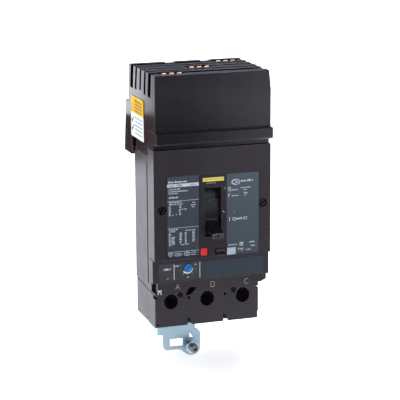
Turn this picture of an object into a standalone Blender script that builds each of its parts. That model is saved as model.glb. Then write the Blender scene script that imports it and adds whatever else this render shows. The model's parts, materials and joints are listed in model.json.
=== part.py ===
"""Three-pole plug-on moulded case circuit breaker, with its toggle mechanism, trip unit and lugs.

Frame: X runs across the poles, Y from front to back, Z up. The origin is on the flat back of the case,
on the centre line, level with the toggle's pivot. Dimensions below are in millimetres; MM turns them
into metres as each mesh is made.
"""
import math

import bmesh
import bpy
from mathutils import Matrix, Vector

MM = 0.001
GAP = 0.3            # clearance kept between neighbouring pieces
OVER = 3.0           # how far a cutter runs past the wall it cuts

# Case
POLE_PITCH = 35.0
POLES = {"a": -POLE_PITCH, "b": 0.0, "c": POLE_PITCH}
FRONT_Y = -78.0                 # main front face
COVER_HALF = 55.7
COVER_BACK_Y = -60.0
COVER_TOP = 59.5
COVER_BOTTOM = -42.1
COVER_WALL = 2.6
COVER_CAVITY_HALF = 42.0        # the rim beside it takes the cover screws
BASE_HALF = 50.4
BASE_TOP = 50.7
BASE_FLOOR = -73.4              # inside
SEAM_BACK_Z = -76.0             # the seam with the load terminals falls towards the front
SEAM_SLOPE = 0.058
WALL = 2.6
BACK_WALL = 3.0
PARTITION_HALF = 1.2
BAND_BACK_Y = -56.0             # the case's front edge behind the trip unit's lower band

# Front furniture
ESCUTCHEON_HALF = 12.8
ESCUTCHEON_TOP = 36.0
ESCUTCHEON_THICK = 3.4
WINDOW_HALF = 7.8
WINDOW_REACH = 22.6             # half height of the toggle window
PLATE_THICK = 0.45
PLATE_RECESS = 0.7
LEFT_PLATE = (-43.2, -13.2, -38.9, 35.2)     # x, x, z, z
RIGHT_PLATE = (13.2, 44.2, -41.2, 34.2)
INDICATOR = (-9.6, 10.6, 28.5, 32.0)
RATING_WINDOW = (2.0, 12.3, -40.1, -34.2)
COVER_SCREW_X = 48.0
COVER_SCREW_Z = 5.0
COVER_SCREW_HEAD = 3.7
BUTTON = (-11.9, -5.7, -39.8, -32.8)
BUTTON_DEPTH = 5.0              # behind the front face; it clears the cover when pressed 2.5 mm

# Toggle
PIVOT_Y = -33.0
TOGGLE_REST_DEG = 17.8          # the handle points this far below level in the OFF position
SKIRT_RADIUS = 41.0
SKIRT_THICK = 1.6
SKIRT_STEP = 1.2                # the outer ends of the skirt are this much lower
SKIRT_HIGH_DEG = 32.0
SKIRT_END_DEG = 52.0
GRIP_REACH = 62.3               # pivot to the end face of the grip
GRIP_ROOT = (5.6, 4.9)          # half width, half height
GRIP_TIP = (5.5, 2.8)

# Jaw housing
HOUSING_FRONT_Y = -80.5
HOUSING_BACK_Y = 3.0
HOUSING_HALF = 54.6
HOUSING_TOP_HALF = 53.8
HOUSING_BOTTOM = 51.0
HOUSING_TOP = 126.8
CREASE_Z = 110.0
CREASE_LEAN = 2.2               # the front plate's top edge lies this far back
COLLAR_FRONT_Y = -85.9
COLLAR_BACK_Y = -58.0
COLLAR_HALF = 54.9
COLLAR_BOTTOM = 65.1
COLLAR_TOP = 75.6
COLLAR_CHAMFER = 1.6
GROOVE_Y = -75.3
SLOTS = ((-63.45, 4.35, 105.8), (-49.3, 2.6, 105.8), (-35.5, 2.5, 107.9),
         (-21.5, 2.7, 106.4), (-8.15, 4.5, 106.2))     # y, half width, floor
BUS_Y = {"a": SLOTS[0][0], "b": SLOTS[2][0], "c": SLOTS[4][0]}
POCKET_HALF_X = 11.2
POCKET_HALF_Y = 7.4
POCKET_FLOOR = 90.0
HOOK_BACK_Y = 19.4
HOOK_TOP = 91.9
HOOK_BOTTOM = 43.0
HOOK_THICK = 2.7

# Current path
BAR_THICK = 3.0
BAR_HALF = 7.0
CONTACT_BAR_Y = -5.0            # centre of the fixed contact bar
LINE_RUN_Z = 63.5
FIXED_CONTACT_Z = 14.0
ROTOR_Y = -20.0
ROTOR_Z = -24.0
ROTOR_RADIUS = 6.0
ROTOR_HALF = 46.5
ARM_LENGTH = 39.5
ARM_CLOSED_DEG = 14.0
ARM_TRAVEL_DEG = 21.0
LOAD_BAR_Y = -17.9
CHUTE_FRONT_Y = -44.5           # the toggle skirt sweeps past in front of this

# Trip unit
STRIP_Y = -72.8
STRIP_TOP = -42.5
STRIP_BOTTOM = -64.2
STRIP_HALF = 56.0
WING_FRONT_Y = -68.2            # the lip below the strip's right end
WING_HALF = 55.4
BAND_Y = -60.9
BAND_BOTTOM = -79.0
TRIP_PLATE = (-50.4, 50.4, -63.0, -46.2)
DIAL_X = -22.2
DIAL_Z = -51.5
DIAL_RADIUS = 3.8
SLANTED_SLOT = ((-21.0, -80.3), (-20.2, -81.5), (-16.8, -81.4), (-13.8, -79.4),
                (-11.4, -76.6), (-10.6, -74.1), (-15.6, -73.6), (-18.1, -75.2))
SLOT_DEPTH_Y = -44.0
LATCH_Z = (-77.5, -66.0)        # opening in the left corner for the trip unit's latch
TRIP_BAR_Y = -50.0
TRIP_BAR_Z = -47.5

# Load terminals
TERMINAL_FRONT_Y = -60.8
TERMINAL_SPLIT_Y = -38.0
TERMINAL_BACK_Y = -2.0
TERMINAL_TOP = -79.4            # of the front wall
TERMINAL_BOTTOM = -110.0
ACCESS_Z = -86.3
ACCESS_RADII = (6.9, 7.3)
LUG = (8.6, -46.0, -19.9, -103.0, -81.3)     # half width, y, y, z, z
WIRE_Y = -32.6
WIRE_RADIUS = 5.6
LUG_SCREW_RADIUS = 3.6

# Fixing bracket
BRACKET_Y = -54.0
BRACKET_THICK = 2.0
BRACKET_LEFT = -46.3
WING_BACK_Y = -26.5
BRACKET_TOP = -110.4
BRACKET_HOLE = (-14.6, -131.8)
BRACKET_HOLE_RADIUS = 3.4


def material(name, color, roughness, metallic=0.0):
    made = bpy.data.materials.new(name)
    made.use_nodes = True
    shader = made.node_tree.nodes["Principled BSDF"]
    shader.inputs["Base Color"].default_value = (*color, 1.0)
    shader.inputs["Roughness"].default_value = roughness
    shader.inputs["Metallic"].default_value = metallic
    return made


def link(name, mesh, look):
    """One object for one piece; a piece without a look is a cutter or an addition."""
    piece = bpy.data.objects.new(name, mesh)
    bpy.context.scene.collection.objects.link(piece)
    if look is None:
        piece.hide_render = True
        piece.display_type = "WIRE"
    else:
        mesh.materials.append(look)
    return piece


def finish_mesh(name, bm, look):
    bmesh.ops.recalc_face_normals(bm, faces=bm.faces)
    mesh = bpy.data.meshes.new(name)
    bm.to_mesh(mesh)
    bm.free()
    mesh.transform(Matrix.Scale(MM, 4))
    return link(name, mesh, look)


def place(axis, across, up, along):
    """A point from a 2-D outline and its distance along the axis of extrusion."""
    return {"X": Vector((along, across, up)),
            "Y": Vector((across, along, up)),
            "Z": Vector((across, up, along))}[axis]


def prism(name, axis, outline, start, end, look=None):
    """A straight extrusion of an outline: (y, z) along X, (x, z) along Y, (x, y) along Z."""
    bm = bmesh.new()
    near = [bm.verts.new(place(axis, u, v, start)) for u, v in outline]
    far = [bm.verts.new(place(axis, u, v, end)) for u, v in outline]
    bm.faces.new(near)
    bm.faces.new(far)
    for i in range(len(outline)):
        j = (i + 1) % len(outline)
        bm.faces.new((near[i], near[j], far[j], far[i]))
    return finish_mesh(name, bm, look)


def block(name, x, y, z, look=None):
    return prism(name, "Z", [(x[0], y[0]), (x[1], y[0]), (x[1], y[1]), (x[0], y[1])], z[0], z[1], look)


def turned(name, axis, centre, profile, look=None, segments=24):
    """A solid of revolution; the profile lists (distance along the axis, radius)."""
    bm = bmesh.new()
    rings = []
    for along, radius in profile:
        ring = []
        for k in range(segments):
            turn = math.tau * k / segments
            across = centre[0] + radius * math.cos(turn)
            up = centre[1] + radius * math.sin(turn)
            ring.append(bm.verts.new(place(axis, across, up, along)))
        rings.append(ring)
    bm.faces.new(rings[0])
    bm.faces.new(rings[-1])
    for low, high in zip(rings, rings[1:]):
        for k in range(segments):
            j = (k + 1) % segments
            bm.faces.new((low[k], low[j], high[j], high[k]))
    piece = finish_mesh(name, bm, look)
    piece.data.shade_smooth()
    piece.data.set_sharp_from_angle(angle=math.radians(35))
    return piece


def arc(centre, radius, start_deg, end_deg, steps):
    points = []
    for k in range(steps + 1):
        turn = math.radians(start_deg + (end_deg - start_deg) * k / steps)
        points.append((centre[0] + radius * math.cos(turn), centre[1] + radius * math.sin(turn)))
    return points


def oval(centre, radii, steps=40):
    points = []
    for k in range(steps):
        turn = math.tau * k / steps
        points.append((centre[0] + radii[0] * math.cos(turn), centre[1] + radii[1] * math.sin(turn)))
    return points


def boolean(target, operation, others):
    for other in others:
        step = target.modifiers.new(operation.title() + " " + other.name, "BOOLEAN")
        step.operation = operation
        step.solver = "EXACT"
        step.object = other
    return target


def carve(target, *cutters):
    return boolean(target, "DIFFERENCE", cutters)


def fuse(target, *additions):
    return boolean(target, "UNION", additions)


def tilt_about_pivot(piece, degrees, y, z):
    """Turns a piece's mesh about an axis parallel to X; positive lowers what points forward."""
    centre = Matrix.Translation(Vector((0.0, y * MM, z * MM)))
    turn = Matrix.Rotation(math.radians(degrees), 4, "X")
    piece.data.transform(centre @ turn @ centre.inverted())


def set_axis(piece, y, z):
    """Puts the origin of a moving piece on its joint's axis."""
    shift = Vector((0.0, y * MM, z * MM))
    piece.data.transform(Matrix.Translation(-shift))
    piece.location = shift


def seam(y):
    """Height of the sloping seam between the case base and the load terminals."""
    return SEAM_BACK_Z + SEAM_SLOPE * y


def cells(y, z, label):
    """One cutter for the inside of each pole, between the partitions."""
    made = []
    inner = POLE_PITCH / 2.0
    for pole, x in POLES.items():
        low = -BASE_HALF + WALL if pole == "a" else x - inner + PARTITION_HALF
        high = BASE_HALF - WALL if pole == "c" else x + inner - PARTITION_HALF
        made.append(block(f"{label}_cell_{pole}", (low, high), y, z))
    return made


def make_case(looks):
    body = looks["case"]
    front = COVER_BACK_Y + GAP
    base = prism("case_base", "X",
                 [(front, BASE_TOP), (0.0, BASE_TOP), (0.0, seam(0.0)), (front, seam(front))],
                 -BASE_HALF, BASE_HALF, body)
    carve(base, *cells((COVER_BACK_Y - OVER, -BACK_WALL), (BASE_FLOOR, BASE_TOP - WALL), "base"))
    carve(base,
          block("band_shelf", (-BASE_HALF - OVER, BASE_HALF + OVER),
                (COVER_BACK_Y - OVER, BAND_BACK_Y), (TERMINAL_TOP - OVER, STRIP_BOTTOM + 2.5)),
          block("base_latch", (-BASE_HALF - OVER, -BASE_HALF + WALL + 1.0),
                (BAND_BACK_Y - OVER, -50.0), LATCH_Z))
    for side, x in (("left", -BASE_HALF), ("right", BASE_HALF)):
        carve(base, block(f"side_groove_{side}", (x - 1.6, x + 1.6), (-41.0, -38.6), (-72.5, 42.0)),
              prism(f"seam_edge_{side}", "X", [(front, seam(front) - OVER), (0.0 + OVER, seam(0.0) - OVER),
                                               (0.0 + OVER, seam(0.0) + 0.5), (front, seam(front) + 0.5)],
                    x - 0.8, x + 0.8))
    carve(base, prism("base_slanted_slot", "Y", SLANTED_SLOT, BAND_BACK_Y - OVER, SLOT_DEPTH_Y),
          turned("rotor_bore", "X", (ROTOR_Y, ROTOR_Z), ((-30.0, 6.8), (30.0, 6.8))),
          turned("trip_bar_bore", "X", (TRIP_BAR_Y, TRIP_BAR_Z), ((-30.0, 3.2), (30.0, 3.2)), None, 16))
    for pole, x in POLES.items():
        carve(base,
              block(f"line_hole_{pole}", (x - 8.0, x + 8.0), (-8.2, -BACK_WALL),
                    (BASE_TOP - WALL - OVER, BASE_TOP + OVER)),
              block(f"load_hole_{pole}", (x - 8.0, x + 8.0), (-20.6, -15.2),
                    (seam(0.0) - OVER - WALL, BASE_FLOOR + OVER)),
              block(f"back_panel_{pole}", (x - 13.0, x + 13.0), (-1.2, OVER), (-70.0, -34.0)))

    cover = block("case_cover", (-COVER_HALF, COVER_HALF), (FRONT_Y, COVER_BACK_Y),
                  (COVER_BOTTOM, COVER_TOP), body)
    carve(cover,
          block("cover_cavity", (-COVER_CAVITY_HALF, COVER_CAVITY_HALF),
                (FRONT_Y + 5.0, COVER_BACK_Y + OVER), (COVER_BOTTOM + WALL, COVER_TOP - 4.0)),
          block("escutcheon_opening", (-ESCUTCHEON_HALF - GAP, ESCUTCHEON_HALF + GAP),
                (FRONT_Y - OVER, FRONT_Y + 5.0 + OVER), (COVER_BOTTOM - OVER, ESCUTCHEON_TOP + GAP)))
    for side, zone in (("left", LEFT_PLATE), ("right", RIGHT_PLATE)):
        carve(cover, block(f"recess_{side}", (zone[0] - GAP, zone[1] + GAP),
                           (FRONT_Y - OVER, FRONT_Y + PLATE_RECESS), (zone[2] - GAP, zone[3] + GAP)))
        block(f"nameplate_{side}", zone[:2], (FRONT_Y - 0.05, FRONT_Y - 0.05 + PLATE_THICK), zone[2:],
              looks["plate"])
    for side, x in (("left", -COVER_SCREW_X), ("right", COVER_SCREW_X)):
        seat = COVER_SCREW_HEAD + 0.6
        carve(cover, turned(f"seat_{side}", "Y", (x, COVER_SCREW_Z),
                            ((FRONT_Y - OVER, seat), (FRONT_Y + 3.4, seat), (FRONT_Y + 3.5, 2.4),
                             (COVER_BACK_Y + OVER, 2.4))))
        slotted_screw(f"cover_screw_{side}", (x, COVER_SCREW_Z), FRONT_Y + 0.5, COVER_SCREW_HEAD, 2.6,
                      2.0, 16.0, 40.0, looks["screw"])


def slotted_screw(name, centre, front, head, head_depth, shank, length, slot_deg, look):
    """A round-head screw along Y, its slot turned from level."""
    screw = turned(name, "Y", centre,
                   ((front, head - 0.5), (front + 0.5, head), (front + head_depth, head),
                    (front + head_depth, shank), (front + length, shank)), look, 28)
    slot = block(f"slot_{name}", (-head - 1.0, head + 1.0), (front - OVER, front + 1.1), (-0.6, 0.6))
    slot.data.transform(Matrix.Rotation(math.radians(-slot_deg), 4, "Y"))
    slot.data.transform(Matrix.Translation(Vector((centre[0], 0.0, centre[1])) * MM))
    return carve(screw, slot)


def make_escutcheon(looks):
    escutcheon = block("escutcheon", (-ESCUTCHEON_HALF, ESCUTCHEON_HALF),
                       (FRONT_Y, FRONT_Y + ESCUTCHEON_THICK), (COVER_BOTTOM + GAP, ESCUTCHEON_TOP),
                       looks["case"])
    carve(escutcheon,
          block("toggle_window", (-WINDOW_HALF, WINDOW_HALF), (FRONT_Y - OVER, FRONT_Y + 9.0),
                (-WINDOW_REACH, WINDOW_REACH)),
          block("button_hole", (BUTTON[0] - GAP, BUTTON[1] + GAP), (FRONT_Y - OVER, FRONT_Y + 9.0),
                (BUTTON[2] - GAP, BUTTON[3] + GAP)),
          block("indicator_recess", (INDICATOR[0] - GAP, INDICATOR[1] + GAP),
                (FRONT_Y - OVER, FRONT_Y + PLATE_RECESS), (INDICATOR[2] - GAP, INDICATOR[3] + GAP)),
          block("rating_recess", (RATING_WINDOW[0] - GAP, RATING_WINDOW[1] + GAP),
                (FRONT_Y - OVER, FRONT_Y + 1.2), (RATING_WINDOW[2] - GAP, RATING_WINDOW[3] + GAP)))
    block("indicator_strip", INDICATOR[:2], (FRONT_Y - 0.05, FRONT_Y - 0.05 + PLATE_THICK),
          INDICATOR[2:], looks["yellow"])

    button = block("trip_button", BUTTON[:2], (FRONT_Y - 0.6, FRONT_Y + BUTTON_DEPTH), BUTTON[2:],
                   looks["red"])
    centre_x = (BUTTON[0] + BUTTON[1]) / 2.0
    fuse(button, block("button_rod", (centre_x - 1.5, centre_x + 1.5), (FRONT_Y + 4.0, TRIP_BAR_Y - 1.6),
                       (-39.1, -36.9)))


def make_toggle(looks):
    """Handle, skirt and yoke are drawn pointing straight forward, then lowered to the OFF position."""
    pivot = (PIVOT_Y, 0.0)
    low_radius = SKIRT_RADIUS - SKIRT_STEP
    inner = low_radius - SKIRT_THICK
    straight = 180.0
    outline = arc(pivot, low_radius, straight - SKIRT_END_DEG, straight - SKIRT_HIGH_DEG, 4)
    outline += arc(pivot, SKIRT_RADIUS, straight - SKIRT_HIGH_DEG, straight + SKIRT_HIGH_DEG, 14)
    outline += arc(pivot, low_radius, straight + SKIRT_HIGH_DEG, straight + SKIRT_END_DEG, 4)
    outline += arc(pivot, inner, straight + SKIRT_END_DEG, straight - SKIRT_END_DEG, 20)
    handle = prism("toggle_handle", "X", outline, -WINDOW_HALF - 1.6, WINDOW_HALF + 1.6, looks["handle"])
    grip = tapered_grip()
    tilt_about_pivot(handle, TOGGLE_REST_DEG, *pivot)
    tilt_about_pivot(grip, TOGGLE_REST_DEG, *pivot)
    set_axis(handle, *pivot)
    fuse(handle, grip)

    arm_inner = 7.6
    arm_thick = 1.5
    front = PIVOT_Y - inner + 0.5
    side = [(front, -4.5), (-50.0, -4.5), (-38.0, -4.8)]
    side += arc(pivot, 4.8, -90.0, 90.0, 8)
    side += [(-38.0, 4.8), (-50.0, 4.5), (front, 4.5)]
    outer = arm_inner + arm_thick
    yoke = prism("handle_yoke", "X", side, -outer, outer, looks["steel"])
    gap_cutter = block("yoke_gap", (-arm_inner, arm_inner), (front + arm_thick, PIVOT_Y + 9.0),
                       (-9.0, 9.0))
    bore = turned("yoke_bore", "X", pivot, ((-14.0, 2.3), (14.0, 2.3)), None, 16)
    for piece in (yoke, gap_cutter):
        tilt_about_pivot(piece, TOGGLE_REST_DEG, *pivot)
    set_axis(yoke, *pivot)
    carve(yoke, gap_cutter, bore)
    for side_name, x in (("left", -4.3), ("right", 4.3)):
        spring = coil(f"main_spring_{side_name}", x, 2.0, 0.45, -67.0, -49.0, 6, looks["steel"])
        tilt_about_pivot(spring, TOGGLE_REST_DEG, *pivot)
        set_axis(spring, *pivot)


def tapered_grip():
    """The finger grip: wide at the skirt, narrower and thinner at its end, with eased edges."""
    bm = bmesh.new()
    rings = []
    stations = ((PIVOT_Y - SKIRT_RADIUS + 1.2, *GRIP_ROOT, 0.9),
                (PIVOT_Y - GRIP_REACH + 0.8, *GRIP_TIP, 0.8),
                (PIVOT_Y - GRIP_REACH, GRIP_TIP[0] - 0.7, GRIP_TIP[1] - 0.7, 0.5))
    for y, half_x, half_z, ease in stations:
        corner = [(half_x, half_z - ease), (half_x - ease, half_z)]
        ring = corner + [(-u, v) for u, v in reversed(corner)]
        ring += [(-u, -v) for u, v in corner]
        ring += [(u, -v) for u, v in reversed(corner)]
        rings.append([bm.verts.new((u, y, v)) for u, v in ring])
    bm.faces.new(rings[0])
    bm.faces.new(rings[-1])
    for near, far in zip(rings, rings[1:]):
        for k in range(len(near)):
            j = (k + 1) % len(near)
            bm.faces.new((near[k], near[j], far[j], far[k]))
    return finish_mesh("toggle_grip", bm, None)


def coil(name, x, radius, wire, start, end, turns, look):
    """A tension spring along Y with square wire."""
    bm = bmesh.new()
    steps = 9
    rings = []
    for k in range(turns * steps + 1):
        turn = math.tau * k / steps
        y = start + (end - start) * k / (turns * steps)
        ring = []
        for offset_r, offset_y in ((-wire, -wire), (wire, -wire), (wire, wire), (-wire, wire)):
            reach = radius + offset_r
            ring.append(bm.verts.new((x + reach * math.cos(turn), y + offset_y, reach * math.sin(turn))))
        rings.append(ring)
    bm.faces.new(rings[0])
    bm.faces.new(rings[-1])
    for near, far in zip(rings, rings[1:]):
        for i in range(4):
            j = (i + 1) % 4
            bm.faces.new((near[i], near[j], far[j], far[i]))
    return finish_mesh(name, bm, look)


def make_housing(looks):
    """The plug-on housing: slotted top, leaning front plate, collar, and the hooks behind it."""
    side = [(HOUSING_BACK_Y, HOUSING_BOTTOM), (HOUSING_BACK_Y, HOUSING_TOP),
            (HOUSING_FRONT_Y + CREASE_LEAN, HOUSING_TOP), (HOUSING_FRONT_Y, CREASE_Z),
            (HOUSING_FRONT_Y, COLLAR_BOTTOM + 2.0), (GROOVE_Y, COLLAR_BOTTOM + 2.0),
            (GROOVE_Y, COVER_TOP + GAP), (COVER_BACK_Y + GAP, COVER_TOP + GAP),
            (COVER_BACK_Y + GAP, HOUSING_BOTTOM)]
    housing = prism("jaw_housing", "X", side, -HOUSING_HALF, HOUSING_HALF, looks["case"])
    taper = HOUSING_HALF - HOUSING_TOP_HALF
    for name, sign in (("left", -1.0), ("right", 1.0)):
        wedge = [(sign * HOUSING_HALF, CREASE_Z), (sign * (HOUSING_HALF + OVER), CREASE_Z),
                 (sign * (HOUSING_HALF + OVER), HOUSING_TOP + OVER),
                 (sign * (HOUSING_TOP_HALF - taper * OVER / 16.8), HOUSING_TOP + OVER)]
        carve(housing, prism(f"side_taper_{name}", "Y", wedge, HOUSING_FRONT_Y - OVER,
                             HOUSING_BACK_Y + OVER))
    collar = [(COLLAR_BACK_Y, COLLAR_TOP), (COLLAR_FRONT_Y + 0.6, COLLAR_TOP),
              (COLLAR_FRONT_Y, COLLAR_TOP - 0.6), (COLLAR_FRONT_Y, COLLAR_BOTTOM + COLLAR_CHAMFER),
              (COLLAR_FRONT_Y + COLLAR_CHAMFER, COLLAR_BOTTOM), (GROOVE_Y, COLLAR_BOTTOM),
              (GROOVE_Y, COVER_TOP + GAP), (COLLAR_BACK_Y, COVER_TOP + GAP)]
    fuse(housing, prism("collar", "X", collar, -COLLAR_HALF, COLLAR_HALF))
    hook = [(HOUSING_BACK_Y - 4.0, HOOK_TOP), (HOOK_BACK_Y - 6.2, HOOK_TOP), (HOOK_BACK_Y, HOOK_BOTTOM),
            (-4.3, HOOK_BOTTOM), (-8.9, HOOK_BOTTOM + 4.9), (-8.9, 62.0), (-4.0, 62.0)]
    for name, x in (("left", -HOUSING_HALF + 0.2), ("right", HOUSING_HALF - 0.2 - HOOK_THICK)):
        fuse(housing, prism(f"hook_{name}", "X", hook, x, x + HOOK_THICK))
        notch_x = (-HOUSING_HALF - OVER, -51.3) if name == "left" else (51.3, HOUSING_HALF + OVER)
        carve(housing, block(f"side_notch_{name}", notch_x, (-21.7, -8.9 - GAP),
                             (HOUSING_BOTTOM - OVER, 61.5)))
    fuse(housing, block("hook_rib", (-HOUSING_HALF + 1.0, HOUSING_HALF - 1.0),
                        (HOUSING_BACK_Y - 1.0, HOOK_BACK_Y - 6.8), (HOOK_TOP - 9.0, HOOK_TOP - 0.5)))
    for number, (y, half, floor) in enumerate(SLOTS, start=1):
        carve(housing, block(f"slot_{number}", (-HOUSING_HALF - OVER, HOUSING_HALF + OVER),
                             (y - half, y + half), (floor, HOUSING_TOP + OVER)))
    for number, (low, high) in enumerate(((-20.2, -11.2), (14.3, 23.3)), start=1):
        carve(housing, block(f"rim_notch_{number}", (low, high), (-4.5, HOUSING_BACK_Y + OVER),
                             (HOUSING_TOP - 0.9, HOUSING_TOP + OVER)))
    for pole, x in POLES.items():
        y = BUS_Y[pole]
        reach = BAR_THICK / 2.0 + 0.8
        channel = [(y - reach, POCKET_FLOOR + OVER), (y + reach, POCKET_FLOOR + OVER),
                   (y + reach, LINE_RUN_Z + reach), (-1.6, LINE_RUN_Z + reach),
                   (-1.6, HOUSING_BOTTOM - OVER), (-8.2, HOUSING_BOTTOM - OVER),
                   (-8.2, LINE_RUN_Z - reach), (y - reach, LINE_RUN_Z - reach)]
        if pole == "c":
            channel = [(y - reach - 0.4, POCKET_FLOOR + OVER), (-1.6, POCKET_FLOOR + OVER),
                       (-1.6, HOUSING_BOTTOM - OVER), (y - reach - 0.4, HOUSING_BOTTOM - OVER)]
        carve(housing,
              block(f"pocket_{pole}", (x - POCKET_HALF_X, x + POCKET_HALF_X),
                    (y - POCKET_HALF_Y, y + POCKET_HALF_Y), (POCKET_FLOOR, HOUSING_TOP + OVER)),
              prism(f"channel_{pole}", "X", channel, x - 8.0, x + 8.0))
    block("warning_label", (-HOUSING_HALF - 0.55, -HOUSING_HALF - GAP), (-46.6, -6.8), (61.8, 99.6),
          looks["label"])


def make_jaws(looks):
    """Each phase has a front and a rear comb of three spring fingers that pinch the busbar."""
    root = BAR_THICK / 2.0 + GAP
    sheet = 1.1
    inner = ((92.0, root), (101.0, root), (106.0, 4.6), (116.5, 2.4), (120.8, 3.3), (127.5, 5.6))
    for pole, x in POLES.items():
        for side, sign in (("front", -1.0), ("rear", 1.0)):
            y = BUS_Y[pole]
            outline = [(y + sign * reach, z) for z, reach in inner]
            outline += [(y + sign * (reach + sheet), z) for z, reach in reversed(inner)]
            comb = prism(f"jaw_{pole}_{side}", "X", outline, x - 10.1, x + 10.1, looks["copper"])
            for number, offset in enumerate((-3.75, 3.75), start=1):
                carve(comb, block(f"finger_gap_{pole}_{side}_{number}",
                                  (x + offset - 0.8, x + offset + 0.8),
                                  (y - 9.0, y + 9.0), (101.0, 130.0)))


def strip_outline(path, thick):
    """A bent bar of even thickness from its centre line of level and upright runs."""
    left = []
    right = []
    half = thick / 2.0
    for i, point in enumerate(path):
        here = Vector(point)
        into = (here - Vector(path[i - 1])).normalized() if i else None
        out = (Vector(path[i + 1]) - here).normalized() if i + 1 < len(path) else None
        if into is None:
            offset = Vector((-out.y, out.x)) * half
        elif out is None:
            offset = Vector((-into.y, into.x)) * half
        else:
            bend = (Vector((-into.y, into.x)) + Vector((-out.y, out.x))).normalized()
            offset = bend * (half / bend.dot(Vector((-into.y, into.x))))
        left.append(tuple(here + offset))
        right.append(tuple(here - offset))
    return left + right[::-1]


def make_current_path(looks):
    for pole, x in POLES.items():
        y = BUS_Y[pole]
        if pole == "c":
            route = [(y, 101.5), (y, 72.0), (CONTACT_BAR_Y, 68.0), (CONTACT_BAR_Y, FIXED_CONTACT_Z - 6.0)]
        else:
            route = [(y, 101.5), (y, LINE_RUN_Z), (CONTACT_BAR_Y, LINE_RUN_Z),
                     (CONTACT_BAR_Y, FIXED_CONTACT_Z - 6.0)]
        line = prism(f"line_conductor_{pole}", "X", strip_outline(route, BAR_THICK - 0.6), x - BAR_HALF,
                     x + BAR_HALF, looks["copper"])
        fuse(line, block(f"fixed_contact_{pole}", (x - 4.0, x + 4.0), (CONTACT_BAR_Y - 3.0, CONTACT_BAR_Y),
                         (FIXED_CONTACT_Z - 3.0, FIXED_CONTACT_Z + 4.0)))

        load = block(f"load_conductor_{pole}", (x - BAR_HALF, x + BAR_HALF),
                     (LOAD_BAR_Y - BAR_THICK / 2.0, LOAD_BAR_Y + BAR_THICK / 2.0), (-102.0, -35.0),
                     looks["copper"])
        fuse(load, block(f"braid_anchor_{pole}", (x - 4.0, x + 4.0), (LOAD_BAR_Y, -8.0), (-40.0, -36.0)))

        arm = [(ROTOR_Y - 2.2, ROTOR_Z + ROTOR_RADIUS + GAP), (ROTOR_Y + 2.2, ROTOR_Z + ROTOR_RADIUS + GAP),
               (ROTOR_Y + 1.8, ROTOR_Z + ARM_LENGTH - 6.0), (ROTOR_Y + 2.3, ROTOR_Z + ARM_LENGTH - 6.0),
               (ROTOR_Y + 2.3, ROTOR_Z + ARM_LENGTH), (ROTOR_Y - 1.8, ROTOR_Z + ARM_LENGTH)]
        contact = prism(f"moving_contact_{pole}", "X", arm, x - 3.0, x + 3.0, looks["copper"])
        tilt_about_pivot(contact, ARM_TRAVEL_DEG - ARM_CLOSED_DEG, ROTOR_Y, ROTOR_Z)
        set_axis(contact, ROTOR_Y, ROTOR_Z)

        chute = block(f"arc_chute_{pole}", (x - 12.3, x + 12.3), (CHUTE_FRONT_Y, -22.0), (24.5, 46.5),
                      looks["steel"])
        for level in range(6):
            z = 26.2 + 3.2 * level
            carve(chute, block(f"chute_gap_{pole}_{level}", (x - 10.9, x + 10.9),
                               (CHUTE_FRONT_Y - OVER, -22.0 + OVER), (z, z + 2.0)))

    rotor = turned("contact_crossbar", "X", (ROTOR_Y, ROTOR_Z),
                   ((-ROTOR_HALF, 3.2), (-ROTOR_HALF + 4.0, 3.2), (-ROTOR_HALF + 4.0, ROTOR_RADIUS),
                    (ROTOR_HALF - 4.0, ROTOR_RADIUS), (ROTOR_HALF - 4.0, 3.2), (ROTOR_HALF, 3.2)),
                   looks["insulator"], 20)
    set_axis(rotor, ROTOR_Y, ROTOR_Z)
    link_outline = [(ROTOR_Y - 6.4, ROTOR_Z + 0.5), (ROTOR_Y - 5.2, ROTOR_Z + 4.4),
                    (ROTOR_Y - 11.6, ROTOR_Z + 14.6), (ROTOR_Y - 15.2, ROTOR_Z + 12.4)]
    lower_link = prism("lower_link", "X", link_outline, 4.7, 6.2, looks["steel"])
    set_axis(lower_link, ROTOR_Y, ROTOR_Z)


def make_mechanism(looks):
    plate_outer = 12.2
    plate_inner = 10.7
    side = [(-58.0, -8.0), (-46.0, -33.5), (-10.0, -33.5), (-10.0, 2.0), (-24.0, 19.0), (-52.0, 19.0),
            (-58.0, 10.0)]
    frame = prism("mechanism_frame", "X", side, -plate_outer, plate_outer, looks["steel"])
    carve(frame,
          block("frame_inside", (-plate_inner, plate_inner), (-70.0, -5.0), (-32.0, 30.0)),
          block("frame_floor_gap", (-plate_inner, plate_inner), (-34.0, -5.0), (-40.0, -25.0)),
          turned("frame_rotor_bore", "X", (ROTOR_Y, ROTOR_Z), ((-20.0, 6.8), (20.0, 6.8)), None, 20))
    fuse(frame, turned("toggle_pin", "X", (PIVOT_Y, 0.0), ((-12.6, 2.0), (12.6, 2.0)), None, 16))
    latch = [(-37.0, -12.0), (-30.5, -10.5), (-30.5, -16.0), (-39.5, -29.5), (-43.5, -28.5)]
    prism("cradle", "X", latch, -6.2, -4.7, looks["steel"])


def seam_notch(name):
    """Cutter for the V at the right end of the seam between the trip unit and the terminal cover."""
    return prism(name, "Y", [(48.2, TERMINAL_TOP), (BASE_HALF + OVER, -76.9), (BASE_HALF + OVER, -81.9)],
                 BAND_Y - OVER, TERMINAL_FRONT_Y + 9.0)


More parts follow.
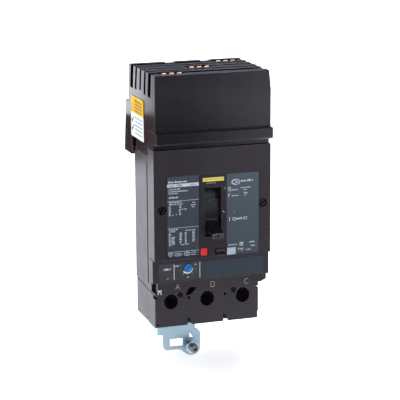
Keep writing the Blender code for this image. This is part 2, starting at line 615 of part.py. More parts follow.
def make_trip_unit(looks):
    case = block("trip_unit_case", (-STRIP_HALF, STRIP_HALF), (STRIP_Y, COVER_BACK_Y - GAP),
                 (STRIP_BOTTOM, STRIP_TOP), looks["case"])
    fuse(case, block("trip_band", (-BASE_HALF, BASE_HALF), (BAND_Y, BAND_BACK_Y - GAP),
                     (BAND_BOTTOM, STRIP_BOTTOM + 2.0)))
    wing = prism("side_wing", "Z", [(40.0, BAND_Y + 0.5), (51.5, WING_FRONT_Y), (WING_HALF, WING_FRONT_Y),
                                    (WING_HALF, COVER_BACK_Y - GAP), (40.0, COVER_BACK_Y - GAP)],
                 -73.6, STRIP_BOTTOM + 1.0)
    carve(wing, prism("wing_slant", "Y", [(WING_HALF + OVER, -69.3), (52.6, -71.6), (BASE_HALF - 1.0, -73.4),
                                          (40.0 - OVER, -73.4), (40.0 - OVER, -78.0),
                                          (WING_HALF + OVER, -78.0)],
                      WING_FRONT_Y - OVER, COVER_BACK_Y + OVER))
    fuse(case, wing)
    zone = TRIP_PLATE
    carve(case,
          block("trip_plate_recess", (zone[0] - GAP, zone[1] + GAP),
                (STRIP_Y - OVER, STRIP_Y + PLATE_RECESS), (zone[2] - GAP, zone[3] + GAP)),
          turned("dial_bore", "Y", (DIAL_X, DIAL_Z), ((STRIP_Y - OVER, 4.3), (STRIP_Y + 7.5, 4.3))),
          block("trip_latch", (-BASE_HALF - OVER, -BASE_HALF + WALL),
                (BAND_Y - OVER, BAND_BACK_Y + OVER), LATCH_Z),
          prism("trip_slanted_slot", "Y", SLANTED_SLOT, BAND_Y - OVER, BAND_BACK_Y + OVER),
          seam_notch("trip_seam_notch"))
    for side, x in (("left", -26.0), ("right", 26.0)):
        carve(case, turned(f"screw_relief_{side}", "Y", (x, -80.7),
                           ((BAND_Y - OVER, 2.9), (BAND_Y + 2.6, 2.9)), None, 16))

    plate = block("trip_unit_plate", zone[:2], (STRIP_Y - 0.05, STRIP_Y - 0.05 + PLATE_THICK), zone[2:],
                  looks["plate"])
    carve(plate, turned("dial_hole", "Y", (DIAL_X, DIAL_Z), ((STRIP_Y - OVER, 4.2), (STRIP_Y + OVER, 4.2))))
    dial = turned("magnetic_dial", "Y", (DIAL_X, DIAL_Z),
                  ((STRIP_Y - 1.0, DIAL_RADIUS - 0.5), (STRIP_Y - 0.5, DIAL_RADIUS),
                   (STRIP_Y + 3.0, DIAL_RADIUS), (STRIP_Y + 3.0, 2.0), (STRIP_Y + 7.0, 2.0)),
                  looks["blue"], 32)
    dial_slot = block("dial_slot", (-2.6, 2.6), (STRIP_Y - OVER, STRIP_Y - 0.1), (-0.55, 0.55))
    dial_slot.data.transform(Matrix.Rotation(math.radians(-40.0), 4, "Y"))
    dial_slot.data.transform(Matrix.Translation(Vector((DIAL_X, 0.0, DIAL_Z)) * MM))
    carve(dial, dial_slot)

    bar = prism("trip_bar", "X", arc((TRIP_BAR_Y, TRIP_BAR_Z), 2.4, 0.0, 315.0, 7), -44.0, 44.0,
                looks["insulator"])
    centre_x = (BUTTON[0] + BUTTON[1]) / 2.0
    set_axis(bar, TRIP_BAR_Y, TRIP_BAR_Z)
    fuse(bar, block("trip_tab", (centre_x - 1.6, centre_x + 1.6), (TRIP_BAR_Y - 1.2, TRIP_BAR_Y + 1.0),
                    (TRIP_BAR_Z, -37.2)))
    for pole, x in POLES.items():
        fuse(bar, block(f"trip_arm_{pole}", (x + 1.0, x + 4.0), (TRIP_BAR_Y, -27.5),
                        (TRIP_BAR_Z - 1.0, TRIP_BAR_Z + 1.0)))
        strip = [(-24.4, -42.0), (-23.2, -42.0), (-23.2, -67.0), (-19.9, -67.0), (-19.9, -73.0),
                 (-24.4, -73.0)]
        prism(f"bimetal_{pole}", "X", strip, x - 4.0, x + 4.0, looks["bimetal"])
        yoke = [(x - 9.2, -22.0), (x - 7.6, -22.0), (x - 7.6, -14.6), (x + 7.6, -14.6), (x + 7.6, -22.0),
                (x + 9.2, -22.0), (x + 9.2, -13.0), (x - 9.2, -13.0)]
        prism(f"magnet_yoke_{pole}", "Z", yoke, -60.0, -48.0, looks["steel"])


def make_terminals(looks):
    split = TERMINAL_SPLIT_Y
    back = TERMINAL_BACK_Y
    rear = prism("terminal_block", "X", [(split, TERMINAL_BOTTOM), (back, TERMINAL_BOTTOM),
                                         (back, seam(back) - GAP), (split, seam(split) - GAP)],
                 -BASE_HALF, BASE_HALF, looks["case"])
    open_top = (TERMINAL_BOTTOM + WALL, SEAM_BACK_Z + OVER)
    carve(rear, *cells((split - OVER, back - BACK_WALL), open_top, "rear_terminal"))
    edge = split - GAP
    step = TERMINAL_FRONT_Y + WALL
    front = prism("load_terminal_cover", "X", [(TERMINAL_FRONT_Y, TERMINAL_BOTTOM), (edge, TERMINAL_BOTTOM),
                                               (edge, seam(edge) - GAP), (step, seam(step) - GAP),
                                               (step, TERMINAL_TOP), (TERMINAL_FRONT_Y, TERMINAL_TOP)],
                  -BASE_HALF, BASE_HALF, looks["case"])
    carve(front, *cells((step, split + OVER), open_top, "front_terminal"))
    carve(front, prism("cover_slanted_slot", "Y", SLANTED_SLOT, TERMINAL_FRONT_Y - OVER, SLOT_DEPTH_Y),
          seam_notch("cover_seam_notch"),
          block("corner_relief", (BASE_HALF - 1.1, BASE_HALF + OVER),
                (TERMINAL_FRONT_Y - OVER, TERMINAL_FRONT_Y + 2.0), (TERMINAL_BOTTOM - OVER, -103.4)),
          prism("latch_foot", "Y",
                [(-BASE_HALF - OVER, -78.0), (-49.6, -78.0), (-47.6, -82.9), (-49.4, -83.2),
                 (-BASE_HALF - OVER, -81.0)], TERMINAL_FRONT_Y - OVER, step + OVER),
          block("side_pocket", (-BASE_HALF - OVER, -BASE_HALF + 1.6), (-40.6, -39.4), (-106.2, -103.8)))
    for pole, x in POLES.items():
        wire = (x - 9.5, x + 9.5)
        outside = (TERMINAL_BOTTOM - OVER, TERMINAL_BOTTOM + WALL + OVER)
        carve(rear, block(f"rear_entry_{pole}", wire, (split - OVER, -20.0), outside))
        carve(front, block(f"front_entry_{pole}", wire, (-50.0, split + OVER), outside),
              prism(f"access_hole_{pole}", "Y", oval((x, ACCESS_Z), ACCESS_RADII), TERMINAL_FRONT_Y - OVER,
                    TERMINAL_FRONT_Y + WALL + OVER))
        half, y0, y1, z0, z1 = LUG
        lug = block(f"load_lug_{pole}", (x - half, x + half), (y0, y1), (z0, z1), looks["aluminium"])
        carve(lug,
              turned(f"wire_bore_{pole}", "Z", (x, WIRE_Y),
                     ((z0 - OVER, WIRE_RADIUS), (z1 + OVER, WIRE_RADIUS))),
              turned(f"screw_bore_{pole}", "Y", (x, ACCESS_Z),
                     ((y0 - OVER, LUG_SCREW_RADIUS + GAP), (WIRE_Y, LUG_SCREW_RADIUS + GAP))))
        screw = turned(f"lug_screw_{pole}", "Y", (x, ACCESS_Z),
                       ((y0 - 6.0, LUG_SCREW_RADIUS - 0.5), (y0 - 5.5, LUG_SCREW_RADIUS),
                        (-40.5, LUG_SCREW_RADIUS), (-39.5, LUG_SCREW_RADIUS - 1.0)), looks["steel"], 20)
        carve(screw, prism(f"socket_{pole}", "Y", arc((x, ACCESS_Z), 2.1, 0.0, 300.0, 5), y0 - 6.0 - OVER,
                           y0 - 2.0))
    deep = step + 4.0
    for side, x in (("left", -17.8), ("right", 17.4)):
        carve(front,
              turned(f"pin_hole_{side}", "Y", (x, -83.8),
                     ((TERMINAL_FRONT_Y - OVER, 1.5), (deep, 1.5)), None, 16),
              prism(f"edge_notch_{side}", "Y",
                    [(x - 2.2, -102.9), (x - 0.9, -101.8), (x + 2.6, -105.6),
                     (x + 3.8, TERMINAL_BOTTOM - OVER), (x - 0.5, TERMINAL_BOTTOM - OVER), (x - 2.4, -104.0)],
                    TERMINAL_FRONT_Y - OVER, deep))
    carve(front, block("corner_slot", (-49.0, -46.9), (TERMINAL_FRONT_Y - OVER, deep), (-108.2, -106.2)))
    for side, x in (("left", -26.0), ("right", 26.0)):
        z = -80.7
        carve(front, turned(f"terminal_seat_{side}", "Y", (x, z),
                            ((TERMINAL_FRONT_Y - OVER, 2.8), (TERMINAL_FRONT_Y + 1.5, 2.8),
                             (TERMINAL_FRONT_Y + 1.6, 1.7), (TERMINAL_FRONT_Y + WALL + OVER, 1.7)), None, 16))
        slotted_screw(f"terminal_cover_screw_{side}", (x, z), TERMINAL_FRONT_Y + 0.1, 2.4, 1.1, 1.3, 3.6,
                      25.0, looks["screw"])


def make_bracket(looks):
    """A bent plate below the load end: a lobe with the fixing hole, a window, and a wing to the back."""
    back_y = BRACKET_Y + BRACKET_THICK
    outline = [(BRACKET_LEFT, BRACKET_TOP), (BRACKET_LEFT, -119.9), (-41.1, -120.2), (-41.0, -131.0)]
    outline += arc((-36.6, -131.0), 4.2, 187.5, 262.5, 8)
    outline += [(-27.0, -135.2), (-23.4, -136.4), (-19.6, -139.6)]
    outline += arc((-13.2, -133.6), 8.6, 225.0, 352.5, 18)
    outline += [(-4.6, -122.6)]
    outline += arc((-10.0, -121.6), 5.4, 7.5, 82.5, 8)
    outline += [(-10.4, BRACKET_TOP)]
    plate = prism("mounting_bracket", "Y", outline, BRACKET_Y, back_y, looks["zinc"])
    fuse(plate, prism("wing", "X", [(BRACKET_Y, BRACKET_TOP), (BRACKET_Y, -119.9), (-38.0, -120.0),
                                    (WING_BACK_Y, -117.5), (WING_BACK_Y, BRACKET_TOP)],
                      BRACKET_LEFT, BRACKET_LEFT + 1.6))
    carve(plate,
          block("bracket_window", (-34.3, -21.8), (BRACKET_Y - OVER, back_y + OVER), (-132.4, -124.8)),
          prism("bracket_notch", "Y", [(-15.2, -124.6), (-11.6, -125.2), (-14.9, -120.0)],
                BRACKET_Y - OVER, back_y + OVER),
          turned("bracket_hole", "Y", BRACKET_HOLE,
                 ((BRACKET_Y - OVER, BRACKET_HOLE_RADIUS), (back_y + OVER, BRACKET_HOLE_RADIUS)), None, 36))
    screw = turned("bracket_screw", "Y", BRACKET_HOLE,
                   ((-68.5, 3.6), (-68.0, 4.1), (-63.2, 4.1), (-63.2, 2.9), (-44.0, 2.9), (-43.0, 1.8)),
                   looks["screw"], 24)
    carve(screw, prism("bracket_socket", "Y", arc(BRACKET_HOLE, 2.3, 0.0, 300.0, 5), -68.5 - OVER, -65.4))
    washer = turned("bracket_washer", "Y", BRACKET_HOLE, ((-62.9, 6.2), (-61.4, 6.2)), looks["zinc"], 28)
    carve(washer, turned("washer_bore", "Y", BRACKET_HOLE, ((-62.9 - OVER, 3.2), (-61.4 + OVER, 3.2))))


def main():
    for thing in list(bpy.data.objects):
        bpy.data.objects.remove(thing, do_unlink=True)
    looks = {
        "case": material("case", (0.045, 0.042, 0.047), 0.5),
        "handle": material("handle", (0.035, 0.035, 0.04), 0.4),
        "plate": material("plate", (0.05, 0.065, 0.08), 0.45),
        "yellow": material("yellow", (0.65, 0.52, 0.1), 0.5),
        "red": material("red", (0.6, 0.02, 0.02), 0.4),
        "blue": material("blue", (0.02, 0.18, 0.6), 0.4),
        "label": material("label", (0.9, 0.75, 0.2), 0.6),
        "copper": material("copper", (0.75, 0.42, 0.3), 0.35, 1.0),
        "bimetal": material("bimetal", (0.6, 0.55, 0.45), 0.35, 1.0),
        "steel": material("steel", (0.55, 0.56, 0.58), 0.4, 1.0),
        "screw": material("screw", (0.12, 0.12, 0.12), 0.4, 0.8),
        "zinc": material("zinc", (0.5, 0.62, 0.72), 0.35, 1.0),
        "aluminium": material("aluminium", (0.75, 0.76, 0.78), 0.35, 1.0),
        "insulator": material("insulator", (0.25, 0.12, 0.06), 0.6),
    }
    make_case(looks)
    make_escutcheon(looks)
    make_toggle(looks)
    make_housing(looks)
    make_jaws(looks)
    make_current_path(looks)
    make_mechanism(looks)
    make_trip_unit(looks)
    make_terminals(looks)
    make_bracket(looks)


main()
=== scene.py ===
"""Looks for a three-pole plug-on moulded case breaker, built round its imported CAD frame.

Lengths are in millimetres in the CAD frame (X across the poles, Y front to back, Z up) and become metres
as each mesh is made. Most CAD nodes keep their meshes and get eased edges and materials. The toggle, dial,
screws and spring jaws are replaced by finer pieces. Print, marks and the small windows are added.
"""

import json
import math
import random

import bmesh
import bpy
from mathutils import Matrix, Vector


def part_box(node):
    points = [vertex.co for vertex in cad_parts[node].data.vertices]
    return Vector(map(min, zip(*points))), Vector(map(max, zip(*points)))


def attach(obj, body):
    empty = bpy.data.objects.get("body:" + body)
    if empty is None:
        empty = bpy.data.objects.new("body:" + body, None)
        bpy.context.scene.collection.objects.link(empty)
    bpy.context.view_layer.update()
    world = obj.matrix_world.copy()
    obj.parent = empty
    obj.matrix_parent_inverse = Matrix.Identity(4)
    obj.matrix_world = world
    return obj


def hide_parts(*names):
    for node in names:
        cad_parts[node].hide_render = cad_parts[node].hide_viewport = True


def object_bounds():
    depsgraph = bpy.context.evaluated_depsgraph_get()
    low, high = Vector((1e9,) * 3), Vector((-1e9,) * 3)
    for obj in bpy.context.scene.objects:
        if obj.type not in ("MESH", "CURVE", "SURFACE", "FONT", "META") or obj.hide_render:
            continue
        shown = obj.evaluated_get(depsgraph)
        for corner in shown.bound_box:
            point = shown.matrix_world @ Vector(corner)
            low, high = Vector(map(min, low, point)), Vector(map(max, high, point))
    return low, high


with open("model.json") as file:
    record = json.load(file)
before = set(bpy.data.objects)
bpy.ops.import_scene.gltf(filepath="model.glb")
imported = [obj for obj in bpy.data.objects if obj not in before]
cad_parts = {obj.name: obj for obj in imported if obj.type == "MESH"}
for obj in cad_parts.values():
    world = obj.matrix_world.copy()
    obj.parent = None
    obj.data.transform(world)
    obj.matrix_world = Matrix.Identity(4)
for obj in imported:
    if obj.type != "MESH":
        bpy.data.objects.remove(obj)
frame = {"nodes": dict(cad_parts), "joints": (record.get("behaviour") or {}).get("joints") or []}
cad_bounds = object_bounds()

MM = 0.001
CASE = "case"
TOGGLE = "toggle"

# Camera, floor and cards
VIEW_AZIMUTH = -18.46
VIEW_ELEVATION = 13.39
VIEW_ROLL = -0.28
VIEW_DISTANCE = 1491.0
VIEW_TARGET = (-2.4, -48.5, 4.7)
VIEW_LENS = 145.9
FLOOR_HALF = 6000.0
SIDE_CARD_Y = 62.0              # the cards at the left stand behind the case


def span(node):
    """A CAD node's box in millimetres: (low corner, high corner)."""
    low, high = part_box(node)
    return low / MM, high / MM


def centre_of(node):
    """The middle of a CAD node seen from the front: (x, z)."""
    low, high = span(node)
    return (low.x + high.x) / 2.0, (low.z + high.z) / 2.0


joints = {joint["name"]: joint for joint in frame["joints"]}
poles = {pole: centre_of(f"load_lug_{pole}")[0] for pole in "abc"}

# Faces that look to the front
FRONT_Y = span("case_cover")[0].y
PLATE_Y = span("nameplate_left")[0].y
STRIP_Y = span("trip_unit_plate")[0].y
BAND_Y = span("load_terminal_cover")[0].y

PIVOT_Y = joints["toggle_turn"]["pos_m"][1] / MM
TOGGLE_REST_DEG = 17.8
PRINT = 0.06                    # thickness of printed marks
ROOT = 0.02                     # how far a fitted mark reaches into its face
STATUS_RISE = 0.12              # thickness of the status square
SMOOTH_DEG = 32.0


# ---------------------------------------------------------------- mesh building

def place(axis, across, up, along):
    return {"X": Vector((along, across, up)),
            "Y": Vector((across, along, up)),
            "Z": Vector((across, up, along))}[axis]


def prism(bm, axis, outline, start, end):
    """Adds a straight extrusion: (y, z) along X, (x, z) along Y, (x, y) along Z."""
    near = [bm.verts.new(place(axis, u, v, start)) for u, v in outline]
    far = [bm.verts.new(place(axis, u, v, end)) for u, v in outline]
    bm.faces.new(near)
    bm.faces.new(far)
    for i in range(len(outline)):
        j = (i + 1) % len(outline)
        bm.faces.new((near[i], near[j], far[j], far[i]))


def loft(bm, rings):
    """Adds a closed solid through rings of points, each ring with as many points."""
    made = [[bm.verts.new(point) for point in ring] for ring in rings]
    bm.faces.new(made[0])
    bm.faces.new(made[-1])
    count = len(made[0])
    for near, far in zip(made, made[1:]):
        for k in range(count):
            j = (k + 1) % count
            bm.faces.new((near[k], near[j], far[j], far[k]))


def hoop(bm, rings):
    """Adds a ring-shaped solid: each ring of points joins the next, and the last joins the first."""
    made = [[bm.verts.new(point) for point in ring] for ring in rings]
    for i, near in enumerate(made):
        far = made[(i + 1) % len(made)]
        for k in range(len(near)):
            j = (k + 1) % len(near)
            bm.faces.new((near[k], near[j], far[j], far[k]))


def oval(centre, across, up, count):
    turns = [math.tau * k / count for k in range(count)]
    return [(centre[0] + across * math.cos(turn), centre[1] + up * math.sin(turn)) for turn in turns]


def arc(centre, radius, start_deg, end_deg, steps):
    points = []
    for k in range(steps + 1):
        turn = math.radians(start_deg + (end_deg - start_deg) * k / steps)
        points.append((centre[0] + radius * math.cos(turn), centre[1] + radius * math.sin(turn)))
    return points


def rectangle(x0, x1, z0, z1):
    return [(x0, z0), (x1, z0), (x1, z1), (x0, z1)]


def rounded(x0, x1, z0, z1, radius, steps=5):
    outline = arc((x1 - radius, z1 - radius), radius, 0, 90, steps)
    outline += arc((x0 + radius, z1 - radius), radius, 90, 180, steps)
    outline += arc((x0 + radius, z0 + radius), radius, 180, 270, steps)
    outline += arc((x1 - radius, z0 + radius), radius, 270, 360, steps)
    return outline


def stroke(path, width):
    """Outline of a line of even width drawn through the points of a path."""
    half = width / 2.0
    left, right = [], []
    for i, point in enumerate(path):
        here = Vector(point)
        into = (here - Vector(path[i - 1])).normalized() if i else None
        out = (Vector(path[i + 1]) - here).normalized() if i + 1 < len(path) else None
        run = ((into or out) + (out or into)).normalized()
        across = Vector((-run.y, run.x))
        reach = half / max(0.5, across.dot(Vector((-(into or out).y, (into or out).x))))
        left.append(tuple(here + across * reach))
        right.append(tuple(here - across * reach))
    return left + right[::-1]


def ring_outline(centre, radii, width, steps=32):
    """An oval line as two half strokes, so that each stays one simple outline."""
    points = oval(centre, *radii, 2 * steps)
    return [stroke(points[:steps + 1], width), stroke(points[steps:] + points[:1], width)]


def smooth(target, degrees=SMOOTH_DEG):
    """Smooth shading, except across edges that turn by more than the angle."""
    target.data.shade_smooth()
    target.data.set_sharp_from_angle(angle=math.radians(degrees))


def mesh_object(name, bm, look, smooth_deg=SMOOTH_DEG):
    """An object with one material from a mesh built in millimetres."""
    bmesh.ops.recalc_face_normals(bm, faces=bm.faces)
    mesh = bpy.data.meshes.new(name)
    bm.to_mesh(mesh)
    bm.free()
    mesh.transform(Matrix.Scale(MM, 4))
    mesh.materials.append(look)
    made = bpy.data.objects.new(name, mesh)
    bpy.context.scene.collection.objects.link(made)
    smooth(made, smooth_deg)
    return made


def block(name, axis, outline, start, end, look):
    """An object made of one straight extrusion."""
    bm = bmesh.new()
    prism(bm, axis, outline, start, end)
    return mesh_object(name, bm, look)


def lofted(name, rings, look):
    """An object made of one closed solid through rings of points."""
    bm = bmesh.new()
    loft(bm, rings)
    return mesh_object(name, bm, look)


def lathe(name, centre, profile, look, segments=64):
    """A solid of revolution about Y; the profile lists (y, radius)."""
    rings = [[(x, y, z) for x, z in oval(centre, radius, radius, segments)] for y, radius in profile]
    return lofted(name, rings, look)


def settle(target, *helpers):
    """Bakes an object's modifiers into its mesh and removes the objects that they used."""
    bpy.context.view_layer.update()
    evaluated = target.evaluated_get(bpy.context.evaluated_depsgraph_get())
    mesh = bpy.data.meshes.new_from_object(evaluated)
    target.modifiers.clear()
    target.data = mesh
    for helper in helpers:
        bpy.data.objects.remove(helper, do_unlink=True)
    return target


def cut(target, *cutters, operation="DIFFERENCE"):
    for cutter in cutters:
        step = target.modifiers.new(cutter.name, "BOOLEAN")
        step.operation = operation
        step.solver = "EXACT"
        step.object = cutter
    return settle(target, *cutters)


def ease(target, width, segments=3, angle=28.0):
    """Rounds an object's edges and keeps its flat faces flat."""
    step = target.modifiers.new("Eased edges", "BEVEL")
    step.width = width * MM
    step.segments = segments
    step.limit_method = "ANGLE"
    step.angle_limit = math.radians(angle)
    step.use_clamp_overlap = True
    step.miter_outer = "MITER_ARC"
    weighted = target.modifiers.new("Flat faces", "WEIGHTED_NORMAL")
    weighted.weight = 80
    weighted.keep_sharp = False
    return target


def add(made, body, slot, *replaced):
    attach(made, body)
    if replaced:
        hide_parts(*replaced)
    return made


# ---------------------------------------------------------------- materials

class Look:
    """A Principled material and short calls for the nodes that feed it."""

    def __init__(self, name, roughness=0.5, metallic=0.0, specular=0.5):
        self.material = bpy.data.materials.new(name)
        self.material.use_nodes = True
        self.tree = self.material.node_tree
        self.shader = self.tree.nodes["Principled BSDF"]
        self.shader.inputs["Roughness"].default_value = roughness
        self.shader.inputs["Metallic"].default_value = metallic
        self.shader.inputs["Specular IOR Level"].default_value = specular
        self.position = self.tree.nodes.new("ShaderNodeTexCoord").outputs["Object"]

    def link(self, output, socket):
        self.tree.links.new(output, socket)

    def noise(self, size_mm, detail=3.0, stretch=(1.0, 1.0, 1.0), rough=0.55):
        """Noise whose features are about size_mm across, stretched along an axis by a factor."""
        mapping = self.tree.nodes.new("ShaderNodeMapping")
        mapping.inputs["Scale"].default_value = [1.0 / value for value in stretch]
        self.link(self.position, mapping.inputs["Vector"])
        texture = self.tree.nodes.new("ShaderNodeTexNoise")
        texture.inputs["Scale"].default_value = 1.0 / (size_mm * MM)
        texture.inputs["Detail"].default_value = detail
        texture.inputs["Roughness"].default_value = rough
        self.link(mapping.outputs["Vector"], texture.inputs["Vector"])
        return texture.outputs["Fac"]

    def ramp(self, factor, low, high, start=0.3, stop=0.7):
        """Maps a factor between start and stop to two colours or two numbers."""
        if isinstance(low, (int, float)):
            node = self.tree.nodes.new("ShaderNodeMapRange")
            node.inputs["From Min"].default_value = start
            node.inputs["From Max"].default_value = stop
            node.inputs["To Min"].default_value = low
            node.inputs["To Max"].default_value = high
            self.link(factor, node.inputs["Value"])
            return node.outputs["Result"]
        node = self.tree.nodes.new("ShaderNodeValToRGB")
        first, last = node.color_ramp.elements
        first.position, last.position = start, stop
        first.color, last.color = (*low, 1.0), (*high, 1.0)
        self.link(factor, node.inputs["Fac"])
        return node.outputs["Color"]

    def mix(self, factor, first, second):
        node = self.tree.nodes.new("ShaderNodeMix")
        node.data_type = "RGBA"
        for value, socket in ((factor, node.inputs["Factor"]), (first, node.inputs["A"]),
                              (second, node.inputs["B"])):
            if isinstance(value, (int, float)):
                socket.default_value = value
            elif isinstance(value, tuple):
                socket.default_value = (*value, 1.0)
            else:
                self.link(value, socket)
        return node.outputs["Result"]

    def maths(self, operation, *values):
        node = self.tree.nodes.new("ShaderNodeMath")
        node.operation = operation
        for value, socket in zip(values, node.inputs):
            self.link(value, socket)
        return node.outputs["Value"]

    def height(self, axis):
        """One coordinate of the surface, in metres."""
        node = self.tree.nodes.new("ShaderNodeSeparateXYZ")
        self.link(self.position, node.inputs["Vector"])
        return node.outputs[axis]

    def edge(self, radius_mm, start=0.02, stop=0.25):
        """0 on flat faces, rising to 1 along convex and concave edges."""
        near = self.tree.nodes.new("ShaderNodeBevel")
        near.samples = 4
        near.inputs["Radius"].default_value = radius_mm * MM
        true = self.tree.nodes.new("ShaderNodeNewGeometry")
        dot = self.tree.nodes.new("ShaderNodeVectorMath")
        dot.operation = "DOT_PRODUCT"
        self.link(near.outputs["Normal"], dot.inputs[0])
        self.link(true.outputs["Normal"], dot.inputs[1])
        return self.ramp(dot.outputs["Value"], 0.0, 1.0, 1.0 - start, 1.0 - stop)

    def level_edge_highlight(self, most):
        """Painted highlight mask: most on slanted faces along level edges; 0 on upright and level faces."""
        texture = self.tree.nodes.new("ShaderNodeTexCoord")
        parts = self.tree.nodes.new("ShaderNodeSeparateXYZ")
        self.link(texture.outputs["Normal"], parts.inputs["Vector"])
        size = self.maths("ABSOLUTE", parts.outputs["Z"])
        rise = self.ramp(size, 0.0, most, 0.3, 0.5)
        fall = self.ramp(size, 1.0, 0.0, 0.8, 0.95)
        return self.maths("MULTIPLY", self.maths("MULTIPLY", rise, fall), self.edge(0.9))

    def colour(self, value):
        if isinstance(value, tuple):
            self.shader.inputs["Base Color"].default_value = (*value, 1.0)
        else:
            self.link(value, self.shader.inputs["Base Color"])
        return self

    def roughness(self, factor, low, high):
        self.link(self.ramp(factor, low, high), self.shader.inputs["Roughness"])
        return self

    def bumps(self, *layers):
        """Each layer is (height output, depth in millimetres)."""
        normal = None
        for height, depth in layers:
            node = self.tree.nodes.new("ShaderNodeBump")
            node.inputs["Strength"].default_value = 1.0
            node.inputs["Distance"].default_value = depth * MM
            self.link(height, node.inputs["Height"])
            if normal is not None:
                self.link(normal, node.inputs["Normal"])
            normal = node.outputs["Normal"]
        self.link(normal, self.shader.inputs["Normal"])
        return self


def moulded_plastic(name, dark, light, highlight_colour, roughness=0.42, grain_mm=0.45, grain_depth=0.012,
                    level_edge_highlight=0.75):
    """Spark-textured moulding: cloudy colour flow, fine grain, and a painted highlight along the edges."""
    look = Look(name, roughness, 0.0, 0.42)
    flow = look.noise(24.0, 4.0, (1.0, 1.0, 3.0))
    body = look.ramp(flow, dark, light)
    speck = look.ramp(look.noise(0.9, 2.0), 0.0, 0.35, 0.62, 0.78)
    body = look.mix(speck, body, light)
    # Painted highlight: a pale colour along every edge, and more on slanted faces along level edges.
    highlight_along_edges = look.edge(0.42)
    body = look.mix(highlight_along_edges, body, highlight_colour)
    look.colour(look.mix(look.level_edge_highlight(level_edge_highlight), body, highlight_colour))
    look.roughness(look.noise(14.0, 3.0), roughness - 0.025, roughness + 0.03)
    look.bumps((look.noise(grain_mm, 2.0), grain_depth), (look.noise(60.0, 1.0), 0.025))
    return look.material


def printed_plate(name, low, high, z0, z1, roughness=0.36):
    """A thin printed plate with painted light, lighter towards the top, and faint handling marks."""
    look = Look(name, roughness, 0.0, 0.4)
    # Painted light: the plate grows lighter from z0 up to z1.
    painted_light_tone = look.mix(look.ramp(look.height("Z"), 0.0, 1.0, z0 * MM, z1 * MM), low, high)
    cloud = look.ramp(look.noise(14.0, 4.0), 0.0, 0.18)
    look.colour(look.mix(cloud, painted_light_tone, high))
    look.roughness(look.noise(7.0, 4.0), roughness - 0.05, roughness + 0.09)
    look.bumps((look.noise(0.35, 1.0), 0.004), (look.noise(18.0, 2.0), 0.03))
    return look.material


def ink(name, colour, roughness=0.5):
    """Screen-printed ink, slightly uneven."""
    look = Look(name, roughness, 0.0, 0.4)
    faded = tuple(c * 0.82 for c in colour)
    look.colour(look.ramp(look.noise(1.6, 3.0), faded, colour, 0.25, 0.6))
    look.bumps((look.noise(0.3, 1.0), 0.004))
    return look.material


def matte_black(name, colour):
    """Near-black matte colour that paints the shade of a deep recess."""
    look = Look(name, 0.8, 0.0, 0.08)
    look.colour(look.ramp(look.noise(5.0, 3.0), tuple(c * 0.65 for c in colour), colour))
    look.bumps((look.noise(0.6, 1.0), 0.01))
    return look.material


def metal(name, base, tint, roughness=0.3, patch_mm=9.0, brushed=None, depth=0.006):
    """Metal with a patchy tint; brushed is a stretch that draws the grain out along one axis."""
    look = Look(name, roughness, 1.0)
    patches = look.ramp(look.noise(patch_mm, 5.0), 0.0, 1.0, 0.35, 0.68)
    look.colour(look.mix(patches, base, tint))
    look.roughness(look.noise(2.4, 4.0), roughness - 0.08, roughness + 0.12)
    grain = look.noise(0.5, 3.0, brushed or (1.0, 1.0, 1.0))
    look.bumps((grain, depth))
    return look.material


def sticker_look(name, divide_z):
    """A two-colour vinyl sticker: yellow over white, with a slightly wrinkled surface."""
    look = Look(name, 0.55, 0.0, 0.12)
    shift = look.ramp(look.height("Z"), 0.0, 1.0, divide_z * MM - 0.00002, divide_z * MM + 0.00002)
    yellow = look.ramp(look.noise(9.0, 4.0), (0.72, 0.42, 0.006), (0.80, 0.52, 0.020))
    white = look.ramp(look.noise(11.0, 4.0), (0.78, 0.79, 0.78), (0.84, 0.845, 0.83))
    look.colour(look.mix(shift, white, yellow))
    look.roughness(look.noise(5.0, 3.0), 0.5, 0.62)
    look.bumps((look.noise(7.0, 2.0), 0.05), (look.noise(0.4, 1.0), 0.004))
    return look.material


